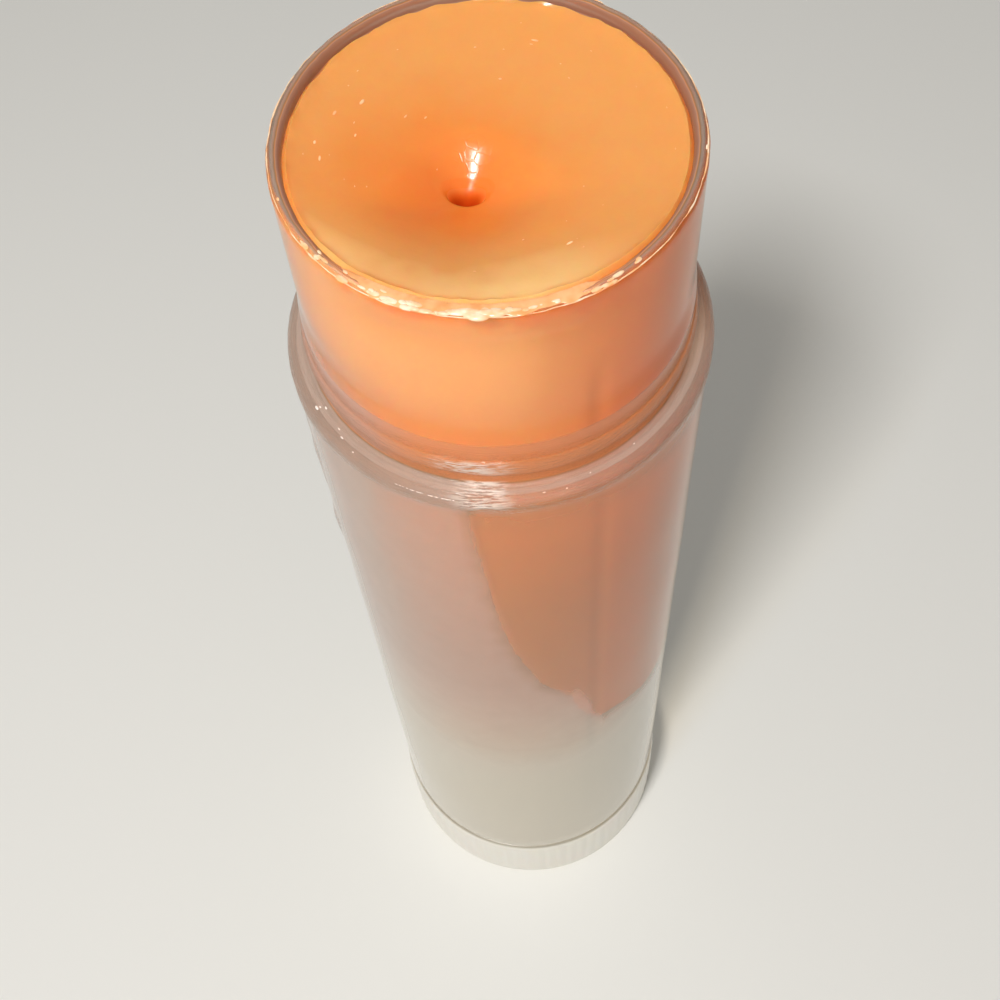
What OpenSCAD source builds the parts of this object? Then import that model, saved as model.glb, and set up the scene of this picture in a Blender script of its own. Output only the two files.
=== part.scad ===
// Twist-up lip balm stick, open and full. It stands on its thumb wheel, with its axis on Z.

/* [Barrel] */
// Bore of the barrel, from its foot to the rim
bore_d = 13; // [11:0.1:18]
// Wall of the neck above the shoulder
neck_wall = 0.52; // [0.4:0.02:0.8]
// Wall of the body below the shoulder
body_wall = 1.4; // [1.2:0.05:2.2]
// Length of the body, from its foot up to the shoulder
body_h = 44.55; // [35:0.05:70]
// Height of the neck above the shoulder
neck_h = 9.6; // [8:0.1:14]
// How far the lip of the shoulder stands out of the body
lip_out = 0.1; // [0.05:0.01:0.3]
// Thickness of the lip of the shoulder
lip_h = 0.9; // [0.6:0.1:2]
// Rounding of the shoulder's outer edge
lip_round = 0.3; // [0.1:0.05:0.5]
// How far the collar at the neck's foot stands out of the neck
collar_out = 0.13; // [0.08:0.01:0.25]
// Height of the collar above the shoulder
collar_h = 3.15; // [2.2:0.05:5]
// How far the bead that holds a cap stands out of the collar
bead_out = 0.09; // [0.05:0.01:0.2]
// Height of the bead's middle above the shoulder
bead_z = 1.35; // [1:0.05:2]
// Height of the bead from its lower to its upper edge
bead_h = 0.9; // [0.6:0.05:1.2]
// Hollow rounding where the collar meets the shoulder
neck_fillet = 0.22; // [0.1:0.02:0.3]
// Rounding of the body's lower outer edge
foot_round = 0.2; // [0.1:0.05:0.5]

/* [Guide ribs in the bore] */
// Number of ribs
rib_count = 4; // [2:1:6]
// Direction of the first rib, seen from above
rib_angle = -63; // [-90:1:90]
// Width of a rib
rib_w = 0.6; // [0.4:0.05:1]
// How far a rib stands into the bore
rib_in = 0.45; // [0.3:0.05:0.6]
// Distance from a rib's upper end to the rim
rib_drop = 4; // [2:0.1:8]

/* [Thumb wheel] */
// Height of the grip ring
wheel_h = 5.4; // [4:0.1:8]
// Gap of the seam between the wheel and the barrel
seam_gap = 0.25; // [0.1:0.05:0.3]
// Number of grip teeth
tooth_count = 72; // [36:1:96]
// Depth of a grip tooth
tooth_depth = 0.16; // [0.1:0.01:0.3]
// Height of the plain band below and above the teeth
band_h = 0.6; // [0.4:0.1:1.2]
// Rounding of the band's outer edges
band_round = 0.25; // [0.1:0.05:0.4]
// Depth of the recess under the wheel
recess_h = 0.8; // [0.4:0.1:1.4]
// Width of the ring that the wheel stands on
stand_w = 1.5; // [1:0.1:2.5]
// Thickness of the wheel's disc
disc_t = 1.4; // [1:0.1:2]
// Height of the snap collar above the grip ring
snap_h = 3; // [2.4:0.1:5]
// Wall of the snap collar
snap_wall = 1; // [0.8:0.05:1.4]
// How far the snap bead stands out of the collar
snap_out = 0.3; // [0.2:0.02:0.4]
// Height of the snap bead's flat
snap_flat = 0.3; // [0.2:0.05:0.6]
// Distance from the collar's top to the snap bead's middle
snap_drop = 0.9; // [0.7:0.05:1.2]
// Number of slots that let the collar spring in
slot_count = 4; // [2:1:6]
// Width of a slot
slot_w = 0.8; // [0.4:0.1:1.5]
// Wall of the hub around the spindle's square foot
hub_wall = 1.1; // [0.8:0.05:1.5]

/* [Spindle] */
// Core diameter of the spindle
core_d = 3.4; // [2.8:0.1:4.4]
// How far the thread stands out of the core
thread_out = 0.55; // [0.35:0.05:0.7]
// Rise of the thread in one turn
thread_lead = 3; // [2.6:0.1:4]
// Width of the thread where it leaves the core
thread_root_w = 1.1; // [0.8:0.05:1.2]
// Width of the thread at its crest
thread_crest_w = 0.5; // [0.3:0.05:0.7]
// Side of the square foot
square_w = 2.6; // [2:0.1:3.4]
// Thickness of the flange that rests on the wheel's hub
flange_t = 0.8; // [0.6:0.1:1.2]
// Chamfer of the spindle's upper end
tip_chamfer = 0.5; // [0.3:0.1:0.9]
// Length of nut still on the thread when the balm is right up
nut_hold = 4.5; // [3:0.1:5.5]

/* [Elevator] */
// Height of the carrier cup
cup_h = 10.5; // [8:0.1:14]
// Wall of the carrier cup
cup_wall = 0.95; // [0.85:0.05:1.2]
// Floor of the carrier cup
cup_floor = 1; // [0.8:0.1:1.5]
// Height of the threaded nut, from the cup's underside
nut_h = 6; // [5:0.1:8]
// Wall of the nut
nut_wall = 1.1; // [0.9:0.05:1.4]
// Height of the fins that keep the balm from turning
fin_h = 3.5; // [2:0.1:5]
// Thickness of a fin
fin_t = 0.6; // [0.5:0.05:1]

/* [Balm] */
// Distance from the rim down to the balm's edge
fill_drop = 0.4; // [0.2:0.05:1.5]
// Width of the level edge around the bowl
edge_w = 0.2; // [0.1:0.05:0.5]
// Depth of the shallow bowl in the balm's top
bowl_depth = 0.6; // [0.3:0.05:1.2]
// Depth of the funnel below the bowl
funnel_depth = 1.4; // [0.6:0.05:1.8]
// Distance over which the funnel fades into the bowl
funnel_fade = 1.2; // [0.8:0.05:1.5]
// Width of the shrink pit
pit_d = 1; // [0.6:0.05:1.4]
// Depth of the shrink pit below the funnel
pit_depth = 0.9; // [0.5:0.05:1.2]
// Place of the pit across the stick
pit_x = -0.75; // [-1:0.05:1]
// Place of the pit towards the back
pit_y = -0.35; // [-1:0.05:1]

/* [Clearances] */
// Running gap between sliding or turning round faces
run_gap = 0.08; // [0.03:0.01:0.1]
// Gap on each side of a rib in its notch
notch_gap = 0.12; // [0.08:0.01:0.2]
// Gap along the axis between the two threads
thread_gap = 0.2; // [0.12:0.01:0.25]
// Gap between stacked pieces at the bottom of the travel
stack_gap = 0.3; // [0.2:0.05:0.5]
// Gap around a piece that is held fast in another
fit_gap = 0.02; // [0.01:0.01:0.04]

/* [Hidden] */
$fn = 96;

// Overrun of cuts, and the bite of ribs and threads into the wall behind them
overrun = 0.2;
// Steps in a quarter round of an outline
round_steps = 5;
// Steps in one turn of a thread
turn_steps = 16;
// Steps in the funnel's outline, and its reach in fade lengths
funnel_steps = 14;
funnel_reach_share = 4;
// A tooth's crest and the slope on each side of it, as shares of the pitch
crest_share = 0.3;
slope_share = 0.2;

// Radii, from the bore outwards
bore_r = bore_d / 2;
neck_r = bore_r + neck_wall;
collar_r = neck_r + collar_out;
body_r = bore_r + body_wall;
lip_r = body_r + lip_out;
wheel_r = lip_r;

// Heights, from the floor upwards
foot_z = wheel_h + seam_gap;
shoulder_z = foot_z + body_h;
collar_z = shoulder_z + collar_h;
rim_z = shoulder_z + neck_h;
snap_z = wheel_h + snap_h;
snap_mid_z = snap_z - snap_drop;
cup_z = snap_z + stack_gap;
cup_top_z = cup_z + cup_h;
nut_top_z = cup_z + nut_h;
rib_top_z = rim_z - rib_drop;
disc_top_z = recess_h + disc_t;
hub_z = snap_z - flange_t;

// The collar, its snap bead and the groove that the bead turns in
snap_r = bore_r - run_gap;
groove_out = snap_out;
groove_flat = snap_flat + 2 * run_gap;

// Spindle and thread
core_r = core_d / 2;
crest_r = core_r + thread_out;
hub_r = square_w / sqrt(2) + hub_wall;
flange_r = hub_r;
spindle_top_z = rim_z - cup_h + nut_hold;
thread_z = snap_z + thread_root_w;
thread_end_z = spindle_top_z - tip_chamfer - thread_root_w;

// Elevator
cup_r = bore_r - run_gap;
cup_bore_r = cup_r - cup_wall;
notch_r = bore_r - rib_in - notch_gap;
notch_w = rib_w + 2 * notch_gap;
nut_bore_r = crest_r + run_gap;
nut_r = nut_bore_r + nut_wall;
nut_thread_r = core_r + notch_gap;
nut_root_w = thread_lead - thread_crest_w - 2 * thread_gap;
nut_crest_w = thread_lead - thread_root_w - 2 * thread_gap;

// Balm
balm_r = bore_r - run_gap;
balm_z = rim_z - fill_drop;
bowl_z = balm_z - bowl_depth;
bowl_r = balm_r - edge_w;
bowl_sphere_r = (bowl_r * bowl_r + bowl_depth * bowl_depth) / (2 * bowl_depth);
pit_r = pit_d / 2;
pit_off = norm([pit_x, pit_y]);
pit_z = bowl_z - funnel_depth - pit_depth;
funnel_r = funnel_fade * funnel_reach_share;
balm_hole_r = nut_bore_r;
balm_hole_z = spindle_top_z + stack_gap;

// Points on a round of radius r about [x, y], from angle a to angle b
function round_points(x, y, r, a, b) = [
    for (i = [0:round_steps])
        let (t = a + (b - a) * i / round_steps)
            [x + r * cos(t), y + r * sin(t)]
];

// A low rounded bead on a wall of radius r, centred at height z
function bead_points(r, z, h, out) = [
    for (i = [-round_steps:round_steps])
        let (t = 90 * i / round_steps)
            [r + out * cos(t), z + h / 2 * sin(t)]
];

// Height of the funnel's surface at distance s from the pit, fading into the bowl where the bowl lies highest
function funnel_height(s) =
    bowl_z + bowl_depth * pow((s + pit_off) / bowl_r, 2) - funnel_depth * exp(-s / funnel_fade);

// A left-handed helical ridge between heights z0 and z1. It has its middle at height mid_z straight along X,
// and its section runs from radius r0, w0 wide, to radius r1, w1 wide.
module helix_ridge(z0, z1, mid_z, r0, w0, r1, w1) {
    steps = floor((z1 - z0) / thread_lead * turn_steps);
    section = [[r0, -w0 / 2], [r1, -w1 / 2], [r1, w1 / 2], [r0, w0 / 2]];
    points = [
        for (i = [0:steps])
            for (p = section)
                let (z = z0 + thread_lead * i / turn_steps, a = -360 * (z - mid_z) / thread_lead)
                    [p[0] * cos(a), p[0] * sin(a), z + p[1]]
    ];
    sides = [
        for (i = [0:steps - 1])
            for (k = [0:3])
                let (a = 4 * i + k, b = 4 * i + (k + 1) % 4, c = a + 4, d = b + 4)
                    for (face = r1 > r0 ? [[a, c, b], [b, c, d]] : [[a, b, c], [b, d, c]])
                        face
    ];
    last = 4 * steps;
    first_cap = r1 > r0 ? [[0, 1, 2], [0, 2, 3]] : [[0, 2, 1], [0, 3, 2]];
    last_cap = r1 > r0
        ? [[last, last + 2, last + 1], [last, last + 3, last + 2]]
        : [[last, last + 1, last + 2], [last, last + 2, last + 3]];
    polyhedron(points = points, faces = concat(sides, first_cap, last_cap), convexity = 10);
}

// The barrel's wall, cut through on one side of the axis
module barrel_outline() {
    polygon(concat(
        [[bore_r, foot_z + foot_round], [bore_r + foot_round, foot_z]],
        round_points(body_r - foot_round, foot_z + foot_round, foot_round, -90, 0),
        [[body_r, shoulder_z - lip_h - lip_out], [lip_r, shoulder_z - lip_h]],
        round_points(lip_r - lip_round, shoulder_z - lip_round, lip_round, 0, 90),
        round_points(collar_r + neck_fillet, shoulder_z + neck_fillet, neck_fillet, 270, 180),
        bead_points(collar_r, shoulder_z + bead_z, bead_h, bead_out),
        [[collar_r, collar_z], [neck_r, collar_z + collar_out]],
        round_points(neck_r - neck_wall / 2, rim_z - neck_wall / 2, neck_wall / 2, 0, 90),
        round_points(neck_r - neck_wall / 2, rim_z - neck_wall / 2, neck_wall / 2, 90, 180),
        [
            [bore_r, snap_mid_z + groove_flat / 2 + groove_out],
            [bore_r + groove_out, snap_mid_z + groove_flat / 2],
            [bore_r + groove_out, snap_mid_z - groove_flat / 2],
            [bore_r, snap_mid_z - groove_flat / 2 - groove_out]
        ]
    ));
}

// One guide rib, with a sloped upper end
module guide_rib() {
    rotate([90, 0, 0])
        translate([0, 0, -rib_w / 2])
            linear_extrude(height = rib_w)
                polygon([
                    [bore_r - rib_in, cup_z],
                    [bore_r + overrun, cup_z],
                    [bore_r + overrun, rib_top_z],
                    [bore_r, rib_top_z],
                    [bore_r - rib_in, rib_top_z - rib_in]
                ]);
}

// Copies a child to each guide rib
module at_ribs() {
    for (i = [0:rib_count - 1])
        rotate(rib_angle + 360 * i / rib_count)
            children();
}

module barrel() {
    color([0.86, 0.83, 0.78, 0.6])
        union() {
            rotate_extrude()
                barrel_outline();
            at_ribs()
                guide_rib();
        }
}

// The grip ring's toothed outline
module toothed_ring() {
    root_r = wheel_r - tooth_depth;
    polygon([
        for (i = [0:tooth_count - 1])
            for (p = [
                [root_r, 0],
                [wheel_r, slope_share],
                [wheel_r, slope_share + crest_share],
                [root_r, 2 * slope_share + crest_share]
            ])
                let (a = 360 * (i + p[1]) / tooth_count)
                    [p[0] * cos(a), p[0] * sin(a)]
    ]);
}

// The wheel without its teeth: grip ring, disc, snap collar and hub, cut through on one side of the axis
module wheel_outline() {
    band_r = wheel_r - tooth_depth / 2;
    snap_bore_r = snap_r - snap_wall;
    polygon(concat(
        [[0, recess_h], [wheel_r - stand_w - recess_h, recess_h], [wheel_r - stand_w, 0]],
        round_points(band_r - band_round, band_round, band_round, -90, 0),
        round_points(band_r - band_round, wheel_h - band_round, band_round, 0, 90),
        [
            [snap_r, wheel_h],
            [snap_r, snap_mid_z - snap_flat / 2 - snap_out],
            [snap_r + snap_out, snap_mid_z - snap_flat / 2],
            [snap_r + snap_out, snap_mid_z + snap_flat / 2],
            [snap_r, snap_mid_z + snap_flat / 2 + snap_out],
            [snap_r - run_gap, snap_z],
            [snap_bore_r, snap_z],
            [snap_bore_r, disc_top_z],
            [hub_r, disc_top_z],
            [hub_r, hub_z],
            [0, hub_z]
        ]
    ));
}

module thumb_wheel() {
    socket_w = square_w + 2 * fit_gap;
    slot_len = snap_wall + snap_out + 2 * overrun;
    slot_h = snap_h - stack_gap;
    color([0.9, 0.88, 0.83])
        difference() {
            union() {
                rotate_extrude()
                    wheel_outline();
                translate([0, 0, band_h])
                    linear_extrude(height = wheel_h - 2 * band_h)
                        difference() {
                            toothed_ring();
                            circle(r = wheel_r - stand_w);
                        }
            }
            translate([-socket_w / 2, -socket_w / 2, recess_h - overrun])
                cube([socket_w, socket_w, hub_z - recess_h + 2 * overrun]);
            for (i = [0:slot_count - 1])
                rotate(360 * (i + 1 / 2) / slot_count)
                    translate([snap_r - snap_wall - overrun, -slot_w / 2, snap_z - slot_h])
                        cube([slot_len, slot_w, slot_h + overrun]);
        }
}

module spindle() {
    color([0.93, 0.93, 0.9])
        union() {
            translate([-square_w / 2, -square_w / 2, recess_h])
                cube([square_w, square_w, hub_z - recess_h + overrun]);
            translate([0, 0, hub_z])
                cylinder(r = flange_r, h = flange_t);
            translate([0, 0, hub_z])
                cylinder(r = core_r, h = spindle_top_z - tip_chamfer - hub_z);
            translate([0, 0, spindle_top_z - tip_chamfer])
                cylinder(r1 = core_r, r2 = core_r - tip_chamfer, h = tip_chamfer);
            helix_ridge(
                thread_z, thread_end_z, thread_z,
                core_r - overrun, thread_root_w, crest_r, thread_crest_w
            );
        }
}

// The cup and its nut without thread, notches and fins, cut through on one side of the axis
module elevator_outline() {
    floor_z = cup_z + cup_floor;
    polygon([
        [nut_bore_r, cup_z],
        [cup_r, cup_z],
        [cup_r, cup_top_z],
        [cup_bore_r, cup_top_z],
        [cup_bore_r, floor_z],
        [nut_r, floor_z],
        [nut_r, nut_top_z],
        [nut_bore_r, nut_top_z]
    ]);
}

// Copies a child to each fin, half way between the guide ribs
module at_fins() {
    for (i = [0:rib_count - 1])
        rotate(rib_angle + 360 * (i + 1 / 2) / rib_count)
            children();
}

module elevator() {
    nut_mid_z = thread_z + thread_lead / 2;
    fin_len = cup_bore_r + overrun - nut_r + overrun;
    color([0.95, 0.94, 0.9])
        difference() {
            union() {
                rotate_extrude()
                    elevator_outline();
                at_fins()
                    translate([nut_r - overrun, -fin_t / 2, cup_z + cup_floor - overrun])
                        cube([fin_len, fin_t, fin_h + overrun]);
                helix_ridge(
                    cup_z + nut_root_w / 2, nut_top_z - nut_root_w / 2, nut_mid_z,
                    nut_bore_r + overrun, nut_root_w, nut_thread_r, nut_crest_w
                );
            }
            at_ribs()
                translate([notch_r, -notch_w / 2, cup_z - overrun])
                    cube([bore_r, notch_w, cup_h + 2 * overrun]);
        }
}

// The balm without its bowl, cut through on one side of the axis
module balm_outline() {
    polygon([
        [nut_r + fit_gap, cup_z + cup_floor],
        [cup_bore_r - fit_gap, cup_z + cup_floor],
        [cup_bore_r - fit_gap, cup_top_z],
        [balm_r, cup_top_z],
        [balm_r, balm_z],
        [0, balm_z],
        [0, balm_hole_z],
        [balm_hole_r, balm_hole_z],
        [balm_hole_r, nut_top_z],
        [nut_r + fit_gap, nut_top_z]
    ]);
}

// The funnel and the pit in the balm's top, cut through on one side of the pit's axis
module funnel_outline() {
    polygon(concat(
        [[0, balm_z + overrun], [0, pit_z]],
        round_points(0, pit_z + pit_r, pit_r, -90, 0),
        [
            for (i = [0:funnel_steps])
                let (s = pit_r + (funnel_r - pit_r) * i / funnel_steps)
                    [s, funnel_height(s)]
        ],
        [[funnel_r, balm_z + overrun]]
    ));
}

module balm() {
    fin_slot_w = fin_t + 2 * fit_gap;
    color([0.93, 0.58, 0.34])
        difference() {
            rotate_extrude()
                balm_outline();
            translate([0, 0, bowl_z + bowl_sphere_r])
                sphere(r = bowl_sphere_r);
            translate([pit_x, pit_y, 0])
                rotate_extrude()
                    funnel_outline();
            at_ribs()
                translate([notch_r, -notch_w / 2, cup_z])
                    cube([bore_r, notch_w, rib_top_z + notch_gap - cup_z]);
            at_fins()
                translate([nut_bore_r, -fin_slot_w / 2, cup_z])
                    cube([bore_r - nut_bore_r, fin_slot_w, cup_floor + fin_h + fit_gap]);
        }
}

barrel();
thumb_wheel();
spindle();
elevator();
balm();
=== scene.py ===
"""An open, full lip balm stick, standing on a pale studio floor.

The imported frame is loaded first, and each of its five pieces is rebuilt here as a finer mesh of the same
sizes with its own finish. Sizes are in millimetres and meshes in metres. The stick stands on the origin with
its axis on Z.
"""

import logging
import math
import random
from dataclasses import dataclass, field
from enum import Enum
from typing import Any, Sequence

import bpy
import numpy as np
from bpy.types import Material, Mesh, Node, NodeSocket, NodeTree, Object
from mathutils import Matrix, Vector, noise


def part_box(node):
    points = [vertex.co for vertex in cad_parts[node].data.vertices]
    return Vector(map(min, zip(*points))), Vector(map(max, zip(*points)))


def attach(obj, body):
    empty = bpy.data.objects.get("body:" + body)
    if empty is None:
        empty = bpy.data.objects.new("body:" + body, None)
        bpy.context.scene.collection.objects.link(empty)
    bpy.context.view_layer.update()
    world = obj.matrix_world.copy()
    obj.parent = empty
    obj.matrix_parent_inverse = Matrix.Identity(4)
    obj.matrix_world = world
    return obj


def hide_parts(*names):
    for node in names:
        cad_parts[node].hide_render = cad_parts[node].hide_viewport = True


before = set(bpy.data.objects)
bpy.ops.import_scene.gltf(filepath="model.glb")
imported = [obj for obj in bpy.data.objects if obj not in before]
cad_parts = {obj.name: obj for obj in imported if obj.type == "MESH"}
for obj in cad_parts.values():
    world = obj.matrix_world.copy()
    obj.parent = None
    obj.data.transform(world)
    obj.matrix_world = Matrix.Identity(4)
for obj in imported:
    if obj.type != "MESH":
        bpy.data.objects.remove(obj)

log = logging.getLogger("lip_balm_stick")

MM = 0.001
FULL_TURN = 2 * math.pi
SHARP_ANGLE = math.radians(38)

# Places closer together than this count as one, in millimetres
CLOSE = 0.01

# A piece that is closed on the axis ends in a small ring of this radius, in millimetres
AXIS_RING = 0.05

# Where a change begins and where it is complete, or the least and the most that is drawn
Span = tuple[float, float]

# A place in millimetres, with its share of a size
Spot = tuple[float, float, float, float]

Array = np.ndarray


class Body(Enum):
    """The bodies that the pieces ride on."""

    BARREL = "barrel"
    WHEEL = "wheel"
    CARRIER = "carrier"


class Slot(Enum):
    """The record's material slots."""

    NATURAL = "natural_polypropylene"
    WHEEL = "wheel_polypropylene"
    INNER = "inner_polypropylene"
    WAX = "balm_wax"


def linear(colour: str) -> tuple[float, float, float, float]:
    """Turns an sRGB colour into the linear one that shaders take.

    Args:
        colour: six hex digits after a hash sign

    Returns:
        Linear red, green and blue, and an alpha of 1.
    """
    shares = [int(colour[i:i + 2], 16) / 255 for i in (1, 3, 5)]
    low, power, offset = 0.04045, 2.4, 0.055
    red, green, blue = (s / 12.92 if s <= low else ((s + offset) / (1 + offset)) ** power for s in shares)
    return red, green, blue, 1.0


def add_node(
    tree: NodeTree,
    kind: str,
    settings: dict[str | int, Any] | None = None,
    links: dict[str | int, NodeSocket | Node] | None = None,
) -> Node:
    """Adds a node with its settings and links.

    Args:
        tree: the tree that gets the node
        kind: Blender's name for the type of node
        settings: values by the name or number of an input, or by the name of the node's own property
        links: sockets, or nodes for their first output, by the name or number of the input that each feeds

    Returns:
        The new node.
    """
    node = tree.nodes.new(kind)
    settings = settings or {}
    for name in [n for n in settings if isinstance(n, str) and hasattr(node, n)]:
        setattr(node, name, settings[name])
    for name, value in settings.items():
        if isinstance(name, int) or not hasattr(node, name):
            node.inputs[name].default_value = value
    for name, source in (links or {}).items():
        socket = source.outputs[0] if isinstance(source, Node) else source
        tree.links.new(socket, node.inputs[name])
    return node


def new_material(name: str) -> tuple[Material, NodeTree, Node]:
    """Makes an empty node material.

    Args:
        name: the material's name

    Returns:
        The material, its node tree and its output node.
    """
    material = bpy.data.materials.new(name)
    material.use_nodes = True
    tree = material.node_tree
    tree.nodes.clear()
    return material, tree, add_node(tree, "ShaderNodeOutputMaterial")


def add_ramp(
    tree: NodeTree, stops: Sequence[tuple[float, str]], value: NodeSocket
) -> Node:
    """Adds a colour ramp.

    Args:
        tree: the node tree
        stops: each colour with its position
        value: the socket that the ramp reads

    Returns:
        The node.
    """
    ramp = add_node(tree, "ShaderNodeValToRGB", links={"Fac": value})
    elements = ramp.color_ramp.elements
    elements[0].position, elements[0].color = stops[0][0], linear(stops[0][1])
    elements[1].position, elements[1].color = stops[-1][0], linear(stops[-1][1])
    for position, colour in stops[1:-1]:
        elements.new(position).color = linear(colour)
    return ramp


def smooth_step(value: Array | float, start: float, end: float) -> Array:
    """Rises smoothly from 0 at start to 1 at end, or falls where end is the smaller one."""
    share = np.clip((np.asarray(value, float) - start) / (end - start), 0, 1)
    return share * share * (3 - 2 * share)


def ripple(points: Array, size: float, seed: float) -> Array:
    """Gives smooth noise at points.

    Args:
        points: an array of points in millimetres, its last axis x, y and z
        size: the distance over which the noise changes, in millimetres
        seed: shifts the noise, so that each use has its own

    Returns:
        Values between -1 and 1, in the shape of the points without their last axis.
    """
    flat = points.reshape(-1, 3) / size + seed
    values = [noise.noise(p) for p in flat.tolist()]
    return np.array(values).reshape(points.shape[:-1])


class Outline:
    """A section through one side of a turned piece: radii and heights, with a mark that each point carries.

    It runs anticlockwise, up the outside and down the inside, so that the faces turned from it point out.
    """

    def __init__(self, radius: float, height: float, mark: float = 0.0) -> None:
        """Starts the outline at a point."""
        self.points = [(radius, height, mark)]

    def line(self, radius: float, height: float, step: float = 100.0, mark: float | None = None) -> "Outline":
        """Runs straight to a point.

        Args:
            radius: the point's radius
            height: the point's height
            step: the longest distance between two points on the way
            mark: the point's mark, to which the marks on the way change evenly; as before if left out

        Returns:
            The outline.
        """
        first = np.array(self.points[-1])
        last = np.array([radius, height, first[2] if mark is None else mark])
        count = max(1, math.ceil(np.hypot(*(last - first)[:2]) / step))
        self.points += [tuple(first + (last - first) * i / count) for i in range(1, count + 1)]
        return self

    def round(self, radius: float, start: float, end: float, steps: int = 5) -> "Outline":
        """Turns along an arc that begins at the last point.

        Args:
            radius: the arc's radius
            start: the direction from the arc's centre to the last point, in degrees
            end: the direction to the arc's end, in degrees
            steps: the number of steps

        Returns:
            The outline.
        """
        r, z, mark = self.points[-1]
        centre_r = r - radius * math.cos(math.radians(start))
        centre_z = z - radius * math.sin(math.radians(start))
        for i in range(1, steps + 1):
            a = math.radians(start + (end - start) * i / steps)
            self.points.append((centre_r + radius * math.cos(a), centre_z + radius * math.sin(a), mark))
        return self


@dataclass
class Turned:
    """A turned grid, with a row for each point of an outline and a column for each step round the axis."""

    radius: Array
    height: Array
    azimuth: Array
    mark: Array

    @classmethod
    def of(cls, outline: Outline, columns: int) -> "Turned":
        """Turns an outline about the axis.

        Args:
            outline: the section
            columns: the number of steps in a turn

        Returns:
            The grid.
        """
        table = np.array(outline.points)
        ones = np.ones((1, columns))
        azimuth = np.arange(columns) * FULL_TURN / columns
        return cls(
            radius=table[:, :1] * ones,
            height=table[:, 1:2] * ones,
            azimuth=np.ones((len(table), 1)) * azimuth[None, :],
            mark=table[:, 2:] * ones,
        )

    def xyz(self) -> Array:
        """Gives the points, in millimetres."""
        return np.stack(
            [self.radius * np.cos(self.azimuth), self.radius * np.sin(self.azimuth), self.height], axis=-1
        )

    def turn_from(self, degrees: float | Array) -> Array:
        """Gives each point's angle from a direction, in degrees between -180 and 180."""
        return (np.degrees(self.azimuth) - degrees + 180) % 360 - 180

    def square(self) -> Array:
        """Gives the factors that turn a ring into a square whose sides are as far from the axis."""
        return 1 / np.maximum(np.abs(np.cos(self.azimuth)), np.abs(np.sin(self.azimuth)))

    def near(self, degrees: float | Array, reach: Span, jag: float | Array = 0.0) -> Array:
        """Gives shares that change over angles from a direction; a jag is added to each point's angle."""
        return smooth_step(np.abs(self.turn_from(degrees)) + jag, *reach)


def grid_faces(
    rows: int, columns: int, closed: bool, gaps: Sequence[tuple[int, int, int, int]] = ()
) -> list[tuple[int, ...]]:
    """Joins a turned grid's points into faces.

    Args:
        rows: the number of rows
        columns: the number of columns
        closed: True if the last row joins the first, False if each gets a point on the axis instead
        gaps: for each slot cut down into the wall, its first row, last row, first column and last column

    Returns:
        The faces. The two points on the axis, where there are any, follow the grid's own points.
    """
    def at(row: int, column: int) -> int:
        return row % rows * columns + column % columns

    faces: list[tuple[int, ...]] = []
    for i in range(rows if closed else rows - 1):
        for j in range(columns):
            if not any(a <= i < b and c <= j < d for a, b, c, d in gaps):
                faces.append((at(i, j), at(i, j + 1), at(i + 1, j + 1), at(i + 1, j)))
    for a, b, c, d in gaps:
        faces += [(at(a, j), at(a, j + 1), at(b, j + 1), at(b, j)) for j in range(c, d)]
        faces.append(tuple(at(i, c) for i in range(a, b + 1)))
        faces.append(tuple(at(i, d) for i in range(b, a - 1, -1)))
    if not closed:
        first, last = rows * columns, rows * columns + 1
        faces += [(first, at(0, j + 1), at(0, j)) for j in range(columns)]
        faces += [(last, at(rows - 1, j), at(rows - 1, j + 1)) for j in range(columns)]
    return faces


def mesh_piece(
    name: str,
    points: Array,
    faces: Sequence[Sequence[int]],
    material: Material | None = None,
    marks: dict[str, Array] | None = None,
) -> Object:
    """Makes a smooth-shaded mesh object at the origin.

    Args:
        name: the object's name
        points: the points, in millimetres
        faces: the faces, as numbers of points
        material: the finish
        marks: values for each point, kept as attributes by name

    Returns:
        The object, linked into the scene.
    """
    mesh = bpy.data.meshes.new(name)
    mesh.from_pydata((points.reshape(-1, 3) * MM).tolist(), [], faces)
    for mark, values in (marks or {}).items():
        attribute = mesh.attributes.new(mark, "FLOAT", "POINT")
        attribute.data.foreach_set("value", values.ravel().astype(np.float32))
    shade(mesh)
    if material:
        mesh.materials.append(material)
    piece = bpy.data.objects.new(name, mesh)
    bpy.context.scene.collection.objects.link(piece)
    return piece


def shade(mesh: Mesh) -> None:
    """Shades a mesh smooth, with its sharper edges kept sharp."""
    mesh.polygons.foreach_set("use_smooth", [True] * len(mesh.polygons))
    mesh.set_sharp_from_angle(angle=SHARP_ANGLE)
    mesh.update()


def turned_piece(
    name: str,
    grid: Turned,
    material: Material,
    points: Array | None = None,
    closed: bool = True,
    gaps: Sequence[tuple[int, int, int, int]] = (),
    marks: dict[str, Array] | None = None,
) -> Object:
    """Makes a piece from a turned grid.

    Args:
        name: the piece's name
        grid: the turned grid
        material: the finish
        points: the grid's points where they no longer follow from its radii and heights
        closed: True for a ring, False for a piece that closes on the axis at both ends
        gaps: slots, as grid_faces takes them
        marks: values for each point of the grid, kept as attributes by name

    Returns:
        The piece.
    """
    points = grid.xyz() if points is None else points
    rows, columns = points.shape[:2]
    faces = grid_faces(rows, columns, closed, gaps)
    flat = points.reshape(-1, 3)
    marks = dict(marks or {})
    if not closed:
        ends = [points[0].mean(axis=0), points[-1].mean(axis=0)]
        flat = np.vstack([flat, ends])
        marks = {k: np.concatenate([v.ravel(), [v[0].mean(), v[-1].mean()]]) for k, v in marks.items()}
    return mesh_piece(name, flat, faces, material, marks)


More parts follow.
